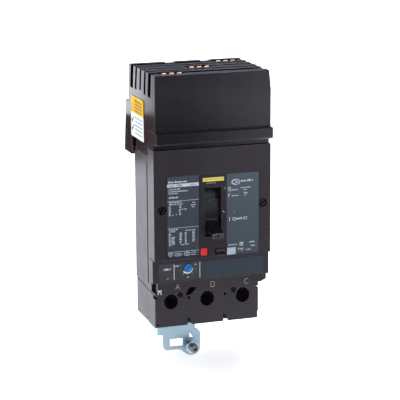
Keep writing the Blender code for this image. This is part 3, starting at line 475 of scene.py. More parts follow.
def make_looks():
    return {
        # The fourth colour of each moulding is the pale colour painted along its edges as a highlight.
        "case": moulded_plastic("case_plastic", (0.0165, 0.0105, 0.0155), (0.0215, 0.0145, 0.0215),
                                (0.19, 0.18, 0.20)),
        "housing": moulded_plastic("housing_plastic", (0.003, 0.0024, 0.0034), (0.0085, 0.0070, 0.0105),
                                   (0.20, 0.19, 0.22), 0.24),
        "column": moulded_plastic("column_plastic", (0.010, 0.0075, 0.0095), (0.014, 0.011, 0.0145),
                                  (0.15, 0.14, 0.16)),
        "handle": moulded_plastic("handle_plastic", (0.008, 0.007, 0.008), (0.014, 0.013, 0.015),
                                  (0.30, 0.30, 0.33), 0.34, 0.3, 0.006, 0.0),
        "slate_left": printed_plate("slate_plate", (0.030, 0.038, 0.049), (0.042, 0.053, 0.066), -40, 36),
        "slate_right": printed_plate("slate_plate_light", (0.040, 0.060, 0.071),
                                     (0.054, 0.078, 0.090), -42, 35),
        "slate_strip": printed_plate("slate_strip", (0.031, 0.031, 0.036), (0.041, 0.042, 0.049), -63, -46),
        "yellow": ink("yellow_film", (0.80, 0.66, 0.12), 0.38),
        "white_ink": ink("white_ink", (0.72, 0.74, 0.78)),
        "grey_ink": ink("grey_ink", (0.46, 0.50, 0.56)),
        "pale_band": ink("pale_band_ink", (0.58, 0.61, 0.70), 0.42),
        "slate_ink": ink("slate_ink", (0.12, 0.14, 0.19)),
        "tan_ink": ink("tan_ink", (0.42, 0.34, 0.26)),
        "amber_ink": ink("amber_ink", (0.60, 0.23, 0.004)),
        "faint_ink": ink("faint_ink", (0.38, 0.44, 0.40)),
        "tick_ink": ink("tick_ink", (0.03, 0.16, 0.08)),
        "olive_ink": ink("olive_ink", (0.36, 0.30, 0.05)),
        "rose_ink": ink("rose_ink", (0.13, 0.055, 0.06)),
        "green_flag": ink("green_flag", (0.005, 0.036, 0.022), 0.5),
        "pale_zinc": metal("washer_zinc", (0.58, 0.72, 0.80), (0.46, 0.58, 0.66), 0.34, 3.0),
        "green_ink": ink("green_ink", (0.025, 0.13, 0.08), 0.45),
        "status_film": ink("status_film", (0.40, 0.48, 0.54), 0.3),
        "red": ink("red_button", (0.70, 0.012, 0.016), 0.36),
        "blue": ink("blue_dial", (0.006, 0.17, 0.46), 0.34),
        "sticker": sticker_look("two_colour_sticker", 84.0),
        "copper": metal("copper_jaw", (0.50, 0.31, 0.22), (0.34, 0.18, 0.11), 0.42, 2.2, (1.0, 1.0, 9.0)),
        "bimetal": metal("bimetal_strip", (0.62, 0.56, 0.46), (0.48, 0.42, 0.34), 0.3),
        "steel": metal("mild_steel", (0.50, 0.51, 0.53), (0.36, 0.36, 0.37), 0.36),
        "screw": metal("blackened_steel", (0.024, 0.021, 0.021), (0.05, 0.044, 0.042), 0.42, 3.0),
        "zinc": metal("blue_zinc", (0.37, 0.50, 0.57), (0.42, 0.55, 0.61), 0.40, 22.0, (6.0, 1.0, 1.0),
                      0.003),
        "bright_zinc": metal("zinc_screw", (0.30, 0.33, 0.34), (0.20, 0.18, 0.165), 0.40, 2.5),
        "aluminium": metal("tinned_aluminium", (0.62, 0.63, 0.65), (0.50, 0.50, 0.52), 0.34),
        "insulator": moulded_plastic("phenolic", (0.10, 0.045, 0.02), (0.16, 0.075, 0.035),
                                     (0.22, 0.13, 0.08), 0.5),
        "glass": ink("smoky_window", (0.045, 0.058, 0.07), 0.16),
        "dark": matte_black("recess_shade", (0.006, 0.0045, 0.005)),
        "hole": matte_black("funnel_shade", (0.0075, 0.0042, 0.005)),
        "dark_screw": metal("oiled_steel_shade", (0.016, 0.014, 0.014), (0.03, 0.026, 0.025), 0.5, 3.0),
    }


# ---------------------------------------------------------------- CAD nodes kept as they are

def dress(node, look, width):
    """Material and eased edges for a CAD node that stays as it is; a width of 0 leaves its edges."""
    piece = frame["nodes"][node]
    if piece.data.materials:
        for slot in piece.material_slots:
            slot.material = look
    else:
        piece.data.materials.append(look)
    if width:
        weld = piece.modifiers.new("Joined corners", "WELD")
        weld.merge_threshold = 0.004 * MM
        ease(piece, width)


def dress_cad(looks):
    kept = {
        "case_base": ("case", 0.7), "case_cover": ("case", 0.7), "escutcheon": ("column", 0.35),
        "jaw_housing": ("housing", 0.6), "trip_unit_case": ("case", 0.5),
        "load_terminal_cover": ("case", 0.6), "terminal_block": ("case", 0.6),
        "nameplate_left": ("slate_left", 0.08), "nameplate_right": ("slate_right", 0.08),
        "trip_unit_plate": ("slate_strip", 0.08), "indicator_strip": ("yellow", 0.08),
        "warning_label": ("sticker", 0.06), "trip_button": ("red", 0.6),
        "mounting_bracket": ("zinc", 0.35), "mechanism_frame": ("steel", 0.15),
        "handle_yoke": ("steel", 0.15), "cradle": ("steel", 0.15), "lower_link": ("steel", 0.15),
        "contact_crossbar": ("insulator", 0.4), "trip_bar": ("insulator", 0.25),
        "main_spring_left": ("steel", 0.0), "main_spring_right": ("steel", 0.0),
    }
    for pole in poles:
        kept[f"line_conductor_{pole}"] = ("copper", 0.3)
        kept[f"load_conductor_{pole}"] = ("copper", 0.3)
        kept[f"moving_contact_{pole}"] = ("copper", 0.25)
        kept[f"arc_chute_{pole}"] = ("steel", 0.1)
        kept[f"bimetal_{pole}"] = ("bimetal", 0.15)
        kept[f"magnet_yoke_{pole}"] = ("steel", 0.15)
        kept[f"load_lug_{pole}"] = ("aluminium", 0.5)
    for node, (look, width) in kept.items():
        dress(node, looks[look], width)


# ---------------------------------------------------------------- print

def print_on(axis, name, outlines, face, look, slot):
    bm = bmesh.new()
    for outline in outlines:
        prism(bm, axis, outline, face - PRINT, face + ROOT)
    add(mesh_object(name, bm, look), CASE, slot)


def print_front(name, outlines, y, look, slot):
    """Printed marks on a face that looks to the front; outlines are (x, z)."""
    print_on("Y", name, outlines, y, look, slot)


def print_side(name, outlines, x, look, slot):
    """Printed marks on a face that looks to the left; outlines are (y, z)."""
    print_on("X", name, outlines, x, look, slot)


def strokes_row(rng, x0, x1, z, tall):
    """A row of short upright strokes in groups, which stands for a line of print."""
    outlines = []
    x = x0
    while x < x1 - 0.4:
        for _ in range(rng.randint(3, 7)):
            wide = tall * rng.uniform(0.22, 0.5)
            high = tall * rng.choice((0.68, 0.68, 0.72, 1.0))
            if x + wide > x1:
                break
            outlines.append(rectangle(x, x + wide, z, z + high))
            x += wide + tall * 0.2
        x += tall * 0.42
    return outlines


def print_left_plate(looks):
    rng = random.Random(11)
    rows = [(-41.8, -24.0, 29.7, 1.7),
            (-41.6, -29.9, 23.4, 1.0), (-41.6, -23.7, 21.3, 1.1), (-41.6, -32.7, 19.6, 1.0),
            (-41.5, -32.7, 15.6, 1.5),
            (-41.5, -29.1, 11.4, 1.0), (-41.4, -28.1, 9.6, 1.0),
            (-29.3, -24.1, 4.6, 0.9), (-19.5, -16.4, 10.3, 0.9), (-20.9, -16.6, 7.9, 1.1),
            (-20.0, -16.8, 6.0, 0.9),
            (-41.8, -33.1, -13.9, 1.0), (-41.6, -35.5, -15.6, 1.0), (-26.4, -17.2, -15.2, 0.9),
            (-30.6, -27.4, -28.2, 0.8), (-26.5, -23.0, -28.0, 0.8)]
    rows += [(-41.8, -39.7, 7.6 - 1.6 * k, 0.95) for k in range(6)]
    rows += [(-32.0, -30.0, 7.9 - 1.6 * k, 0.95) for k in range(6)]
    rows += [(-38.8, -37.4, -0.4, 0.9), (-35.0, -33.8, 0.1, 0.9)]
    rows += [(-42.0, -39.8, -17.4 - 1.55 * k, 0.95) for k in range(8)]
    rows += [(-39.3, -36.1, -20.6 - 1.3 * k, 0.85) for k in range(6)]
    rows += [(-31.9, -29.6, -17.4 - 1.5 * k, 0.9) for k in range(7)]
    rows += [(-26.8, -24.6, -17.4 - 1.5 * k, 0.9) for k in range(7)]
    rows += [(-19.8, -17.2, -16.6 - 1.3 * k, 0.8) for k in range(8)]
    outlines = []
    for x0, x1, z, tall in rows:
        outlines += strokes_row(rng, x0, x1, z, tall)
    print_front("left_plate_print", outlines, PLATE_Y, looks["white_ink"], "nameplate")

    rules = [rectangle(-43.1, -13.4, z, z + 0.35) for z in (12.75, -12.2, -34.4)]
    print_front("left_plate_rules", rules, PLATE_Y, looks["grey_ink"], "nameplate")
    print_front("left_plate_band", [rounded(-43.1, -13.4, 25.7, 28.6, 0.3)], PLATE_Y,
                looks["pale_band"], "nameplate")
    band_rows = strokes_row(rng, -41.6, -35.8, 26.3, 1.7) + strokes_row(rng, -34.2, -29.0, 26.3, 1.7)
    band_rows += strokes_row(rng, -21.6, -14.6, 26.5, 1.3)
    print_front("left_plate_band_print", band_rows, PLATE_Y - PRINT, looks["slate_ink"], "nameplate")
    print_front("left_plate_marks", plate_marks(), PLATE_Y, looks["grey_ink"], "nameplate")


def plate_marks():
    """The row of plain shapes at the foot of the left plate: a shield, an oblong, a ring and two bars."""
    shield = [(-42.6, -35.2), (-38.6, -35.2), (-38.8, -36.8), (-40.6, -38.4), (-42.4, -36.8),
              (-42.6, -35.2)]
    outlines = [stroke(shield, 0.45), rectangle(-41.3, -39.9, -36.7, -35.9)]
    outlines += ring_outline((-33.2, -36.9), (3.4, 1.3), 0.4)
    outlines += [rectangle(-34.8, -31.6, -37.2, -36.7)]
    outlines += ring_outline((-24.8, -36.8), (2.6, 1.7), 0.5)
    outlines += [rectangle(-25.9, -23.7, -37.0, -36.6), rectangle(-25.0, -24.6, -38.0, -35.6)]
    outlines += [rectangle(-20.9, -16.4, -36.1, -35.6), rectangle(-20.9, -16.4, -38.1, -37.6)]
    return outlines


def print_right_plate(looks):
    rng = random.Random(23)
    outlines = ring_outline((21.9, 26.3), (3.8, 2.5), 0.4)
    outlines += ring_outline((20.6, 26.3), (1.5, 1.9), 0.35)
    outlines += [stroke([(22.6, 25.2), (23.4, 27.6), (24.2, 25.2)], 0.4)]
    rows = [(26.9, 38.7, 26.1, 1.9), (17.8, 24.6, 18.6, 1.0), (26.9, 36.7, 20.1, 1.0),
            (29.4, 33.0, 18.2, 0.9), (18.2, 25.3, 13.2, 0.9), (29.6, 33.4, 15.0, 1.2),
            (30.6, 32.4, 13.2, 0.9),
            (15.0, 23.5, -32.6, 0.9), (35.2, 40.9, -31.6, 1.4), (36.7, 40.9, -35.0, 1.4),
            (31.8, 37.0, -38.3, 0.9)]
    for x0, x1, z, tall in rows:
        outlines += strokes_row(rng, x0, x1, z, tall)
    outlines += [stroke([(14.9, 21.6), (16.9, 21.6), (16.9, 19.6), (14.9, 19.6), (14.9, 21.6)], 0.35)]
    outlines += [rectangle(14.9, 17.2, 18.2, 18.6), stroke([(14.9, 15.4), (16.9, 15.4)], 0.4),
                 rectangle(14.9, 15.4, 12.9, 15.2)]
    outlines += [rectangle(15.6, 16.1, -9.7, -6.2), rectangle(20.2, 20.6, -1.6, -0.9)]
    outlines += ring_outline((20.4, -8.2), (1.5, 1.3), 0.4)
    outlines += strokes_row(rng, 22.4, 30.4, -8.8, 1.9)
    outlines += ring_outline((31.2, -8.0), (1.5, 1.2), 0.35)
    outlines += [stroke([(26.0, -33.5), (28.8, -33.5), (28.8, -30.7), (26.0, -30.7), (26.0, -33.5)], 0.4),
                 rectangle(26.9, 27.9, -32.6, -31.6)]
    outlines += ring_outline((25.6, -37.6), (1.4, 1.4), 0.4)[:1]
    outlines += [stroke([(28.0, -38.9), (28.0, -36.4), (29.6, -36.4)], 0.4)]
    print_front("right_plate_print", outlines, PLATE_Y, looks["white_ink"], "nameplate")

    status = block("status_square", "Y", rounded(13.5, 21.8, -41.3, -34.7, 0.25), PLATE_Y - STATUS_RISE,
                   PLATE_Y + ROOT, looks["status_film"])
    add(status, CASE, "nameplate")
    ease(status, 0.05, 2)
    rule = stroke(rectangle(14.1, 21.2, -40.7, -35.3) + [(14.1, -40.7)], 0.18)
    print_front("status_square_rule", [rule], PLATE_Y - STATUS_RISE, looks["grey_ink"], "nameplate")


def print_escutcheon(looks):
    rng = random.Random(31)
    low, high = span("indicator_strip")
    outlines = strokes_row(rng, low.x + 3.4, high.x - 1.2, low.z + 1.4, 1.3)
    outlines += [rectangle(low.x + 0.5, low.x + 2.2, low.z + 0.7, low.z + 1.0),
                 rectangle(low.x + 0.5, low.x + 2.2, low.z + 1.7, low.z + 2.0),
                 rectangle(low.x + 2.4, low.x + 2.65, low.z + 0.4, high.z - 0.4)]
    print_front("indicator_print", outlines, low.y, looks["olive_ink"], "yellow_strip")
    marks = strokes_row(rng, -6.0, 3.2, 26.7, 0.8)
    marks += [stroke([(9.6, 0.4), (11.0, -1.4)], 0.6), stroke([(11.2, 22.0), (11.9, 20.6)], 0.45)]
    print_front("escutcheon_print", marks, FRONT_Y, looks["grey_ink"], "case")


def print_strip(looks):
    """Marks round the dial: two rules, a wedge that grows round it, ticks and short strokes."""
    rng = random.Random(47)
    dial_x, dial_z = centre_of("magnetic_dial")
    outlines = [rectangle(-35.9, -35.4, -62.0, -47.2), rectangle(-11.2, -10.8, -62.0, -47.2)]
    outlines += strokes_row(rng, -45.4, -38.3, -52.3, 1.8)
    outlines += strokes_row(rng, -34.4, -31.0, -49.6, 1.3) + strokes_row(rng, -16.2, -13.6, -49.4, 1.0)
    outlines += strokes_row(rng, -23.4, -21.2, -60.7, 1.1)
    outlines += [rectangle(-42.6, -40.9, -60.6, -60.2)]
    for turn in (-140, -105, -70, 70, 105, 140):
        out = Vector((math.sin(math.radians(turn)), math.cos(math.radians(turn))))
        outlines.append(stroke([tuple(Vector((dial_x, dial_z)) + out * reach) for reach in (6.9, 7.7)],
                               0.28))
    print_front("trip_unit_print", outlines, STRIP_Y, looks["white_ink"], "nameplate")

    steps = 28
    outer = []
    for k in range(steps + 1):
        turn = math.radians(214.0 + 138.0 * k / steps)
        radius = 4.9 + 1.25 * (1.0 - k / steps)
        outer.append((dial_x + radius * math.cos(turn), dial_z + radius * math.sin(turn)))
    inner = arc((dial_x, dial_z), 4.55, 214.0, 352.0, steps)
    print_front("dial_wedge", [outer + inner[::-1]], STRIP_Y, looks["white_ink"], "nameplate")


def print_terminals(looks):
    """Phase letters in thin strokes over the three terminals, and a plain fork mark at the left."""
    letter_a = ([(-2.0, -2.4), (0.0, 2.4), (2.0, -2.4)], [(-1.3, -0.8), (1.3, -0.8)])
    letter_b = ([(-1.7, 2.4), (-1.7, -2.4)],
                [(-1.7, 2.4)] + arc((0.5, 1.2), 1.2, 90, -90, 8) + [(-1.7, 0.0)],
                [(-1.7, 0.0)] + arc((0.7, -1.2), 1.2, 90, -90, 8) + [(-1.7, -2.4)])
    letter_c = (arc((0.0, 0.0), 2.3, 50, 310, 16),)
    outlines = []
    for paths, x, z in ((letter_a, -28.6, -72.4), (letter_b, 5.3, -73.0), (letter_c, 38.9, -73.3)):
        for path in paths:
            outlines.append(stroke([(x + u, z + v) for u, v in path], 0.46))
    raised_y = BAND_Y - 0.1
    print_front("phase_letters", outlines, raised_y, looks["tan_ink"], "case")
    fork = [stroke([(-47.3, -78.6), (-47.3, -74.6), (-44.6, -74.6), (-44.6, -78.6)], 0.75),
            rectangle(-46.3, -45.5, -76.6, -74.6)]
    print_front("terminal_mark", fork, raised_y, looks["white_ink"], "case")


def print_sticker(looks):
    rng = random.Random(53)
    low, high = span("warning_label")
    x = low.x
    orange = []
    for k in range(4):
        orange += strokes_row(rng, low.y + 5.0, high.y - 11.0 + 2.0 * (k % 2), 85.8 + 3.0 * k, 2.0)
        orange.append(rectangle(low.y + 5.0, high.y - 12.0, 86.0 + 3.0 * k, 87.0 + 3.0 * k))
    orange += [stroke([(high.y - 5.6, 86.0), (high.y - 3.4, 90.2), (high.y - 1.2, 86.0),
                       (high.y - 5.6, 86.0)], 0.7)]
    print_side("sticker_upper_print", orange, x, looks["amber_ink"], "sticker")
    faint = []
    for k in range(5):
        z = 79.8 - 3.6 * k
        faint += strokes_row(rng, low.y + 3.0, high.y - 11.0, z, 1.5)
        faint.append(rectangle(low.y + 3.0, high.y - 12.0 - 4.0 * (k % 2), z + 0.2, z + 1.0))
    print_side("sticker_lower_print", faint, x, looks["faint_ink"], "sticker")
    ticks = [stroke([(high.y - 2.2, z), (high.y - 4.2, z - 2.2), (high.y - 8.6, z + 2.8)], 1.9)
             for z in (77.6, 69.8)]
    print_side("sticker_ticks", ticks, x, looks["tick_ink"], "sticker")


# ---------------------------------------------------------------- toggle

def about_pivot(points, lower_deg):
    """Turns (x, y, z) points about the toggle's pivot; positive lowers what points forward."""
    turn = math.radians(lower_deg)
    turned_points = []
    for x, y, z in points:
        across, up = y - PIVOT_Y, z
        turned_points.append(Vector((x, PIVOT_Y + across * math.cos(turn) - up * math.sin(turn),
                                     across * math.sin(turn) + up * math.cos(turn))))
    return turned_points


def skirt_arc(radius, start_deg, stop_deg, steps):
    """(y, z) points about the pivot, at angles above the direction of the lowered handle."""
    points = []
    for k in range(steps + 1):
        turn = math.radians(start_deg + (stop_deg - start_deg) * k / steps - TOGGLE_REST_DEG)
        points.append((PIVOT_Y - radius * math.cos(turn), radius * math.sin(turn)))
    return points


def skirt_band(bm, x0, x1, radius_in, radius_out, start_deg, stop_deg, steps):
    outline = skirt_arc(radius_out, start_deg, stop_deg, steps)
    outline += skirt_arc(radius_in, stop_deg, start_deg, steps)
    prism(bm, "X", outline, x0, x1)


def grip_ring(y, half_x, half_z, radius, steps=5):
    outline = rounded(-half_x, half_x, -half_z, half_z, radius, steps)
    return about_pivot([(x, y, z) for x, z in outline], TOGGLE_REST_DEG)


def make_toggle(looks):
    """Handle, stem and arc skirt in one moulding, with a hollowed end face and a flange at its root."""
    radius, tip_radius = 41.0, 62.3
    low_radius = radius - 1.2
    inner = low_radius - 1.6
    half = 9.35
    raised_deg, skirt_deg = 32.0, 52.0
    outline = skirt_arc(low_radius, skirt_deg, raised_deg, 12)
    outline += skirt_arc(radius, raised_deg, -raised_deg, 36)
    outline += skirt_arc(low_radius, -raised_deg, -skirt_deg, 12)
    outline += skirt_arc(inner, -skirt_deg, skirt_deg, 48)
    skirt = block("toggle_lever", "X", outline, -half, half, looks["handle"])

    root_y = PIVOT_Y - radius
    tip_y = PIVOT_Y - tip_radius
    grip = lofted("toggle_grip_part", [
        grip_ring(root_y + 1.2, 6.2, 5.6, 1.4), grip_ring(root_y - 0.8, 6.2, 5.6, 1.2),
        grip_ring(root_y - 0.9, 5.6, 4.9, 1.0), grip_ring(root_y - 9.0, 5.5, 3.8, 0.9),
        grip_ring(tip_y + 1.4, 5.45, 2.8, 0.8), grip_ring(tip_y + 0.35, 5.4, 2.76, 0.7),
        grip_ring(tip_y, 5.2, 2.56, 0.6)], looks["handle"])
    hollow = lofted("toggle_hollow", [grip_ring(tip_y - 0.5, 4.5, 1.95, 0.4),
                                      grip_ring(tip_y + 0.8, 4.2, 1.7, 0.3)], looks["handle"])
    dimple = lofted("toggle_dimple", [grip_ring(tip_y - 0.3, 1.3, 1.25, 1.1),
                                      grip_ring(tip_y + 2.6, 1.1, 1.05, 0.95)], looks["handle"])
    cut(skirt, grip, operation="UNION")
    cut(skirt, hollow, dimple)
    smooth(skirt)
    ease(skirt, 0.18, 2)
    add(skirt, TOGGLE, "handle", "toggle_handle")

    bm = bmesh.new()
    skirt_band(bm, -7.2, 3.6, low_radius - 0.05, low_radius + 0.1, 35.6, 46.5, 12)
    add(mesh_object("off_flag", bm, looks["green_flag"]), TOGGLE, "handle")
    bm = bmesh.new()
    for start, stop, x0, x1 in ((38.6, 39.2, -3.4, 0.2), (41.9, 42.5, -3.4, 0.2), (38.6, 42.5, -3.8, -3.2),
                                (38.6, 42.5, 0.0, 0.6)):
        skirt_band(bm, x0, x1, low_radius + 0.05, low_radius + 0.16, start, stop, 4)
    add(mesh_object("off_mark", bm, looks["green_ink"]), TOGGLE, "handle")
    bm = bmesh.new()
    skirt_band(bm, -0.5, 0.5, low_radius - 0.05, low_radius + 0.12, -43.5, -38.0, 6)
    add(mesh_object("on_mark", bm, looks["white_ink"]), TOGGLE, "handle")


# ---------------------------------------------------------------- screws, dial, button

def turn_about(cutter, centre, degrees):
    """Turns a cutter made at the origin about Y and moves it to its place."""
    cutter.data.transform(Matrix.Rotation(math.radians(-degrees), 4, "Y"))
    cutter.data.transform(Matrix.Translation(Vector((centre[0], 0.0, centre[1])) * MM))
    return cutter


def screw_head(name, centre, front, radius, depth, slot_deg, look, slot_wide=1.3):
    """A pan head along Y with a domed face, a chamfered rim and a slot, and its plain shank."""
    dome, rim, shank = 0.75, 0.9, radius * 0.55
    profile = [(front, radius * 0.30)]
    for k in range(7):
        turn = math.radians(90.0 * k / 6)
        profile.append((front + 0.08 + dome * (1.0 - math.cos(turn)), radius - rim + rim * math.sin(turn)))
    profile += [(front + depth, radius), (front + depth, shank), (front + depth + 8.0, shank)]
    head = lathe(name, centre, profile, look)
    slot = block("slot_cutter", "Y", rounded(-radius - 0.6, radius + 0.6, -slot_wide / 2, slot_wide / 2, 0.2),
                 front - 2.0, front + 1.2, look)
    cut(head, turn_about(slot, centre, slot_deg))
    smooth(head)
    return head


def make_screws(looks):
    for side, slot_deg in (("left", 58.0), ("right", 35.0)):
        node = f"cover_screw_{side}"
        head = screw_head(f"cover_screw_head_{side}", centre_of(node), span(node)[0].y, 3.65, 2.6,
                          slot_deg, looks["screw"])
        add(head, CASE, "dark_screw", node)
        node = f"terminal_cover_screw_{side}"
        head = screw_head(f"terminal_screw_head_{side}", centre_of(node), span(node)[0].y, 2.35, 1.1,
                          25.0, looks["dark_screw"], 0.8)
        add(head, CASE, "dark_screw", node)


def make_dial(looks):
    """A blue knob with a screwdriver slot and an arrow, both sunk."""
    centre = centre_of("magnetic_dial")
    front = span("magnetic_dial")[0].y
    dial = lathe("dial_knob", centre, ((front, 3.15), (front + 0.1, 3.42), (front + 0.35, 3.68),
                                       (front + 0.6, 3.78), (front + 3.9, 3.78), (front + 3.9, 2.0),
                                       (front + 7.8, 2.0)), looks["blue"])
    cutters = []
    for name, outline, depth in (("dial_slot_cutter", rounded(-2.7, 2.7, -0.5, 0.5, 0.45), 0.95),
                                 ("dial_arrow_cutter", [(1.6, -1.2), (3.1, 0.0), (1.6, 1.2)], 0.55)):
        cutter = block(name, "Y", outline, front - 2.0, front + depth, looks["blue"])
        cutters.append(turn_about(cutter, centre, 42.0))
    cut(dial, *cutters)
    smooth(dial, 30.0)
    add(dial, "trip_dial", "blue_dial", "magnetic_dial")


def sink_socket(screw, centre, radius, front, depth):
    """Cuts a hexagon socket into the front of a screw."""
    hexagon = arc(centre, radius, 0, 300, 5)
    cut(screw, block("socket_cutter", "Y", hexagon, front - 1.0, front + depth, screw.data.materials[0]))
    smooth(screw)


def make_fixing_screw(looks):
    """Captive screw with a hexagon socket, a threaded shank and a washer that sits on the plate side."""
    low, high = span("bracket_screw")
    centre = centre_of("bracket_screw")
    front = low.y
    neck = front + 5.3
    profile = [(front, 3.2), (front + 0.25, 3.75), (front + 0.7, 4.02), (neck - 0.3, 4.05), (neck, 3.8)]
    pitch, valley, crest = 1.0, 2.45, 2.88
    y = neck + 0.01
    while y < high.y - 2.4:
        profile += [(y, valley), (y + pitch * 0.5, crest)]
        y += pitch
    profile += [(y, 2.4), (high.y, 1.8)]
    screw = lathe("fixing_screw_body", centre, profile, looks["bright_zinc"], 48)
    sink_socket(screw, centre, 2.25, front, 2.9)
    add(screw, "fixing_screw", "steel", "bracket_screw")

    low, high = span("bracket_washer")
    section = ((low.y, 3.25), (low.y, 5.75), (low.y + 0.25, 6.1), (high.y - 0.25, 6.18), (high.y, 5.9),
               (high.y, 3.25))
    bm = bmesh.new()
    hoop(bm, [[(x, y, z) for x, z in oval(centre, radius, radius, 64)] for y, radius in section])
    add(mesh_object("fixing_washer", bm, looks["pale_zinc"]), "fixing_screw", "zinc", "bracket_washer")


def make_lug_screws(looks):
    for pole in poles:
        node = f"lug_screw_{pole}"
        low, high = span(node)
        centre = centre_of(node)
        pitch, valley, crest = 1.1, 3.2, 3.55
        profile = [(low.y, 3.0), (low.y + 0.5, 3.5)]
        y = low.y + 1.2
        while y < high.y - 1.4:
            profile += [(y, crest), (y + 0.45, valley), (y + 0.9, crest)]
            y += pitch
        profile += [(high.y, 2.5)]
        # Near-black oiled steel: on these deep screws it also paints the shade of the access holes.
        screw = lathe(f"clamp_screw_{pole}", centre, profile, looks["dark_screw"], 40)
        sink_socket(screw, centre, 2.1, low.y, 4.0)
        add(screw, f"wire_clamp_{pole}", "steel", node)


def make_hole_shades(looks):
    """Black funnels from the access holes to the lug screws; their black paints the shade deep in the holes.
    """
    for pole in poles:
        centre = centre_of(f"lug_screw_{pole}")
        tip = span(f"lug_screw_{pole}")[0].y - 0.4
        section = ((BAND_Y + 2.3, 7.5, 7.3), (BAND_Y + 2.3, 6.95, 7.2), (tip, 2.4, 2.4), (tip, 4.4, 4.4),
                   (BAND_Y + 4.5, 7.9, 6.9))
        bm = bmesh.new()
        hoop(bm, [[(x, y, z) for x, z in oval(centre, across, up, 40)] for y, across, up in section])
        add(mesh_object(f"hole_shade_{pole}", bm, looks["hole"]), CASE, "case")


# ---------------------------------------------------------------- spring jaws

def smooth_path(points, steps=5):
    """Catmull-Rom curve through the points."""
    path = []
    for i in range(len(points) - 1):
        before = Vector(points[max(0, i - 1)])
        first, second = Vector(points[i]), Vector(points[i + 1])
        after = Vector(points[min(len(points) - 1, i + 2)])
        for k in range(steps):
            t = k / steps
            path.append(0.5 * ((2 * first) + (second - before) * t
                               + (2 * before - 5 * first + 4 * second - after) * t * t
                               + (3 * first - before - 3 * second + after) * t ** 3))
    path.append(Vector(points[-1]))
    return path


def ribbon(bm, centre_line, halves, x, thick):
    """A bent strip of sheet: (y, z) centre line, its half width at each point, centred on x."""
    rings = []
    for i, here in enumerate(centre_line):
        before = centre_line[max(0, i - 1)]
        after = centre_line[min(len(centre_line) - 1, i + 1)]
        run = (after - before).normalized()
        across = Vector((-run.y, run.x)) * thick / 2.0
        half = halves[i]
        near, far = here - across, here + across
        rings.append([(x - half, near.x, near.y), (x + half, near.x, near.y),
                      (x + half, far.x, far.y), (x - half, far.x, far.y)])
    loft(bm, rings)


def make_jaws(looks):
    """Each comb is one root plate and three sprung fingers with rounded, turned-out tips."""
    thick = 1.0
    fingers = (-7.15, 0.0, 7.15)
    finger_half, root_half, tip_round = 2.75, 9.8, 2.6
    for pole, x in poles.items():
        for side, sign in (("front", -1.0), ("rear", 1.0)):
            node = f"jaw_{pole}_{side}"
            low, high = span(node)
            bus_y = span(f"jaw_{pole}_front")[1].y + 1.8
            line = [(low.z + 0.2, 2.4), (100.5, 2.4), (103.6, 3.6), (106.4, 5.0), (111.0, 4.3),
                    (116.2, 3.0), (119.6, 3.1), (123.0, 4.1), (high.z - 0.2, 5.7)]
            if side == "rear":
                line = line[:-2] + [(121.0, 3.8)]
            points = smooth_path([(bus_y + sign * reach, z) for z, reach in line])
            top = line[-1][0]
            bm = bmesh.new()
            for offset in fingers:
                halves = []
                for point in points:
                    left = min(1.0, (top + 0.3 - point.y) / tip_round)
                    rounding = math.sqrt(max(0.0, 1.0 - (1.0 - left) ** 2))
                    halves.append(finger_half * (0.35 + 0.65 * rounding))
                ribbon(bm, points, halves, x + offset, thick)
            comb = mesh_object(f"jaw_fingers_{pole}_{side}", bm, looks["copper"], 40.0)
            bm = bmesh.new()
            root = [point for point in points if point.y < 100.9]
            ribbon(bm, root, [root_half] * len(root), x, thick + 0.02)
            cut(comb, mesh_object("jaw_root_part", bm, looks["copper"]), operation="UNION")
            smooth(comb, 40.0)
            ease(comb, 0.16, 2)
            add(comb, CASE, "copper", node)


# ---------------------------------------------------------------- small moulded and fitted details

def make_details(looks):
    """The rating window, the trip unit's smoky window and the moulding nub on the jaw housing."""
    sunk_y = FRONT_Y + 0.75
    # The slab's near-black paints the shade inside the rating window; the rating marks are printed on it.
    window = block("rating_window", "Y", rounded(2.1, 12.2, -40.0, -34.3, 0.4), sunk_y, sunk_y + 0.4,
                   looks["dark"])
    add(window, CASE, "case")
    ease(window, 0.08, 2)
    foot, head = -38.2, -35.8
    marks = [stroke([(3.6, foot), (3.6, head)], 0.42)]
    for x0, wide in ((4.7, 1.3), (6.6, 1.3), (9.2, 1.4)):
        marks.append(stroke([(x0, foot), (x0, head), (x0 + wide, head), (x0 + wide, foot)], 0.42))
    marks += [rectangle(11.3, 11.9, -39.0, -35.2)]
    print_front("rating_print", marks, sunk_y, looks["rose_ink"], "case")

    cover = block("trip_unit_window", "Y", rounded(-9.6, 50.1, -62.4, -46.9, 0.6), STRIP_Y - 0.35,
                  STRIP_Y + ROOT, looks["glass"])
    add(cover, CASE, "nameplate")
    ease(cover, 0.2, 3)

    nub = Vector((-1.6, -84.4, 75.4))
    rings = []
    for k in range(5):
        turn = math.radians(90.0 * k / 4)
        half = 1.5 * math.cos(turn) + 0.15
        rings.append([(x, y, nub.z + 1.1 * math.sin(turn)) for x, y in oval(nub.xy, half, half * 0.7, 16)])
    add(lofted("gate_nub", rings, looks["housing"]), CASE, "case")


# ---------------------------------------------------------------- studio

def stage_card(name, axis, outline, start, colour):
    """A card beside the set that only reflections see."""
    look = Look(name, 0.9, 0.0, 0.0)
    look.colour(look.ramp(look.noise(300.0, 2.0), tuple(c * 0.8 for c in colour), colour))
    card = block(name, axis, outline, start, start + 2.0, look.material)
    card.visible_camera = False
    card.visible_shadow = False
    card.visible_diffuse = False


def area_lamp(name, position, target, size, power, colour):
    data = bpy.data.lights.new(name, "AREA")
    data.shape = "RECTANGLE"
    data.size, data.size_y = size
    data.energy = power
    data.color = colour
    lamp = bpy.data.objects.new(name, data)
    lamp.location = position
    lamp.rotation_euler = (Vector(target) - Vector(position)).to_track_quat("-Z", "Y").to_euler()
    lamp.visible_camera = False
    bpy.context.scene.collection.objects.link(lamp)


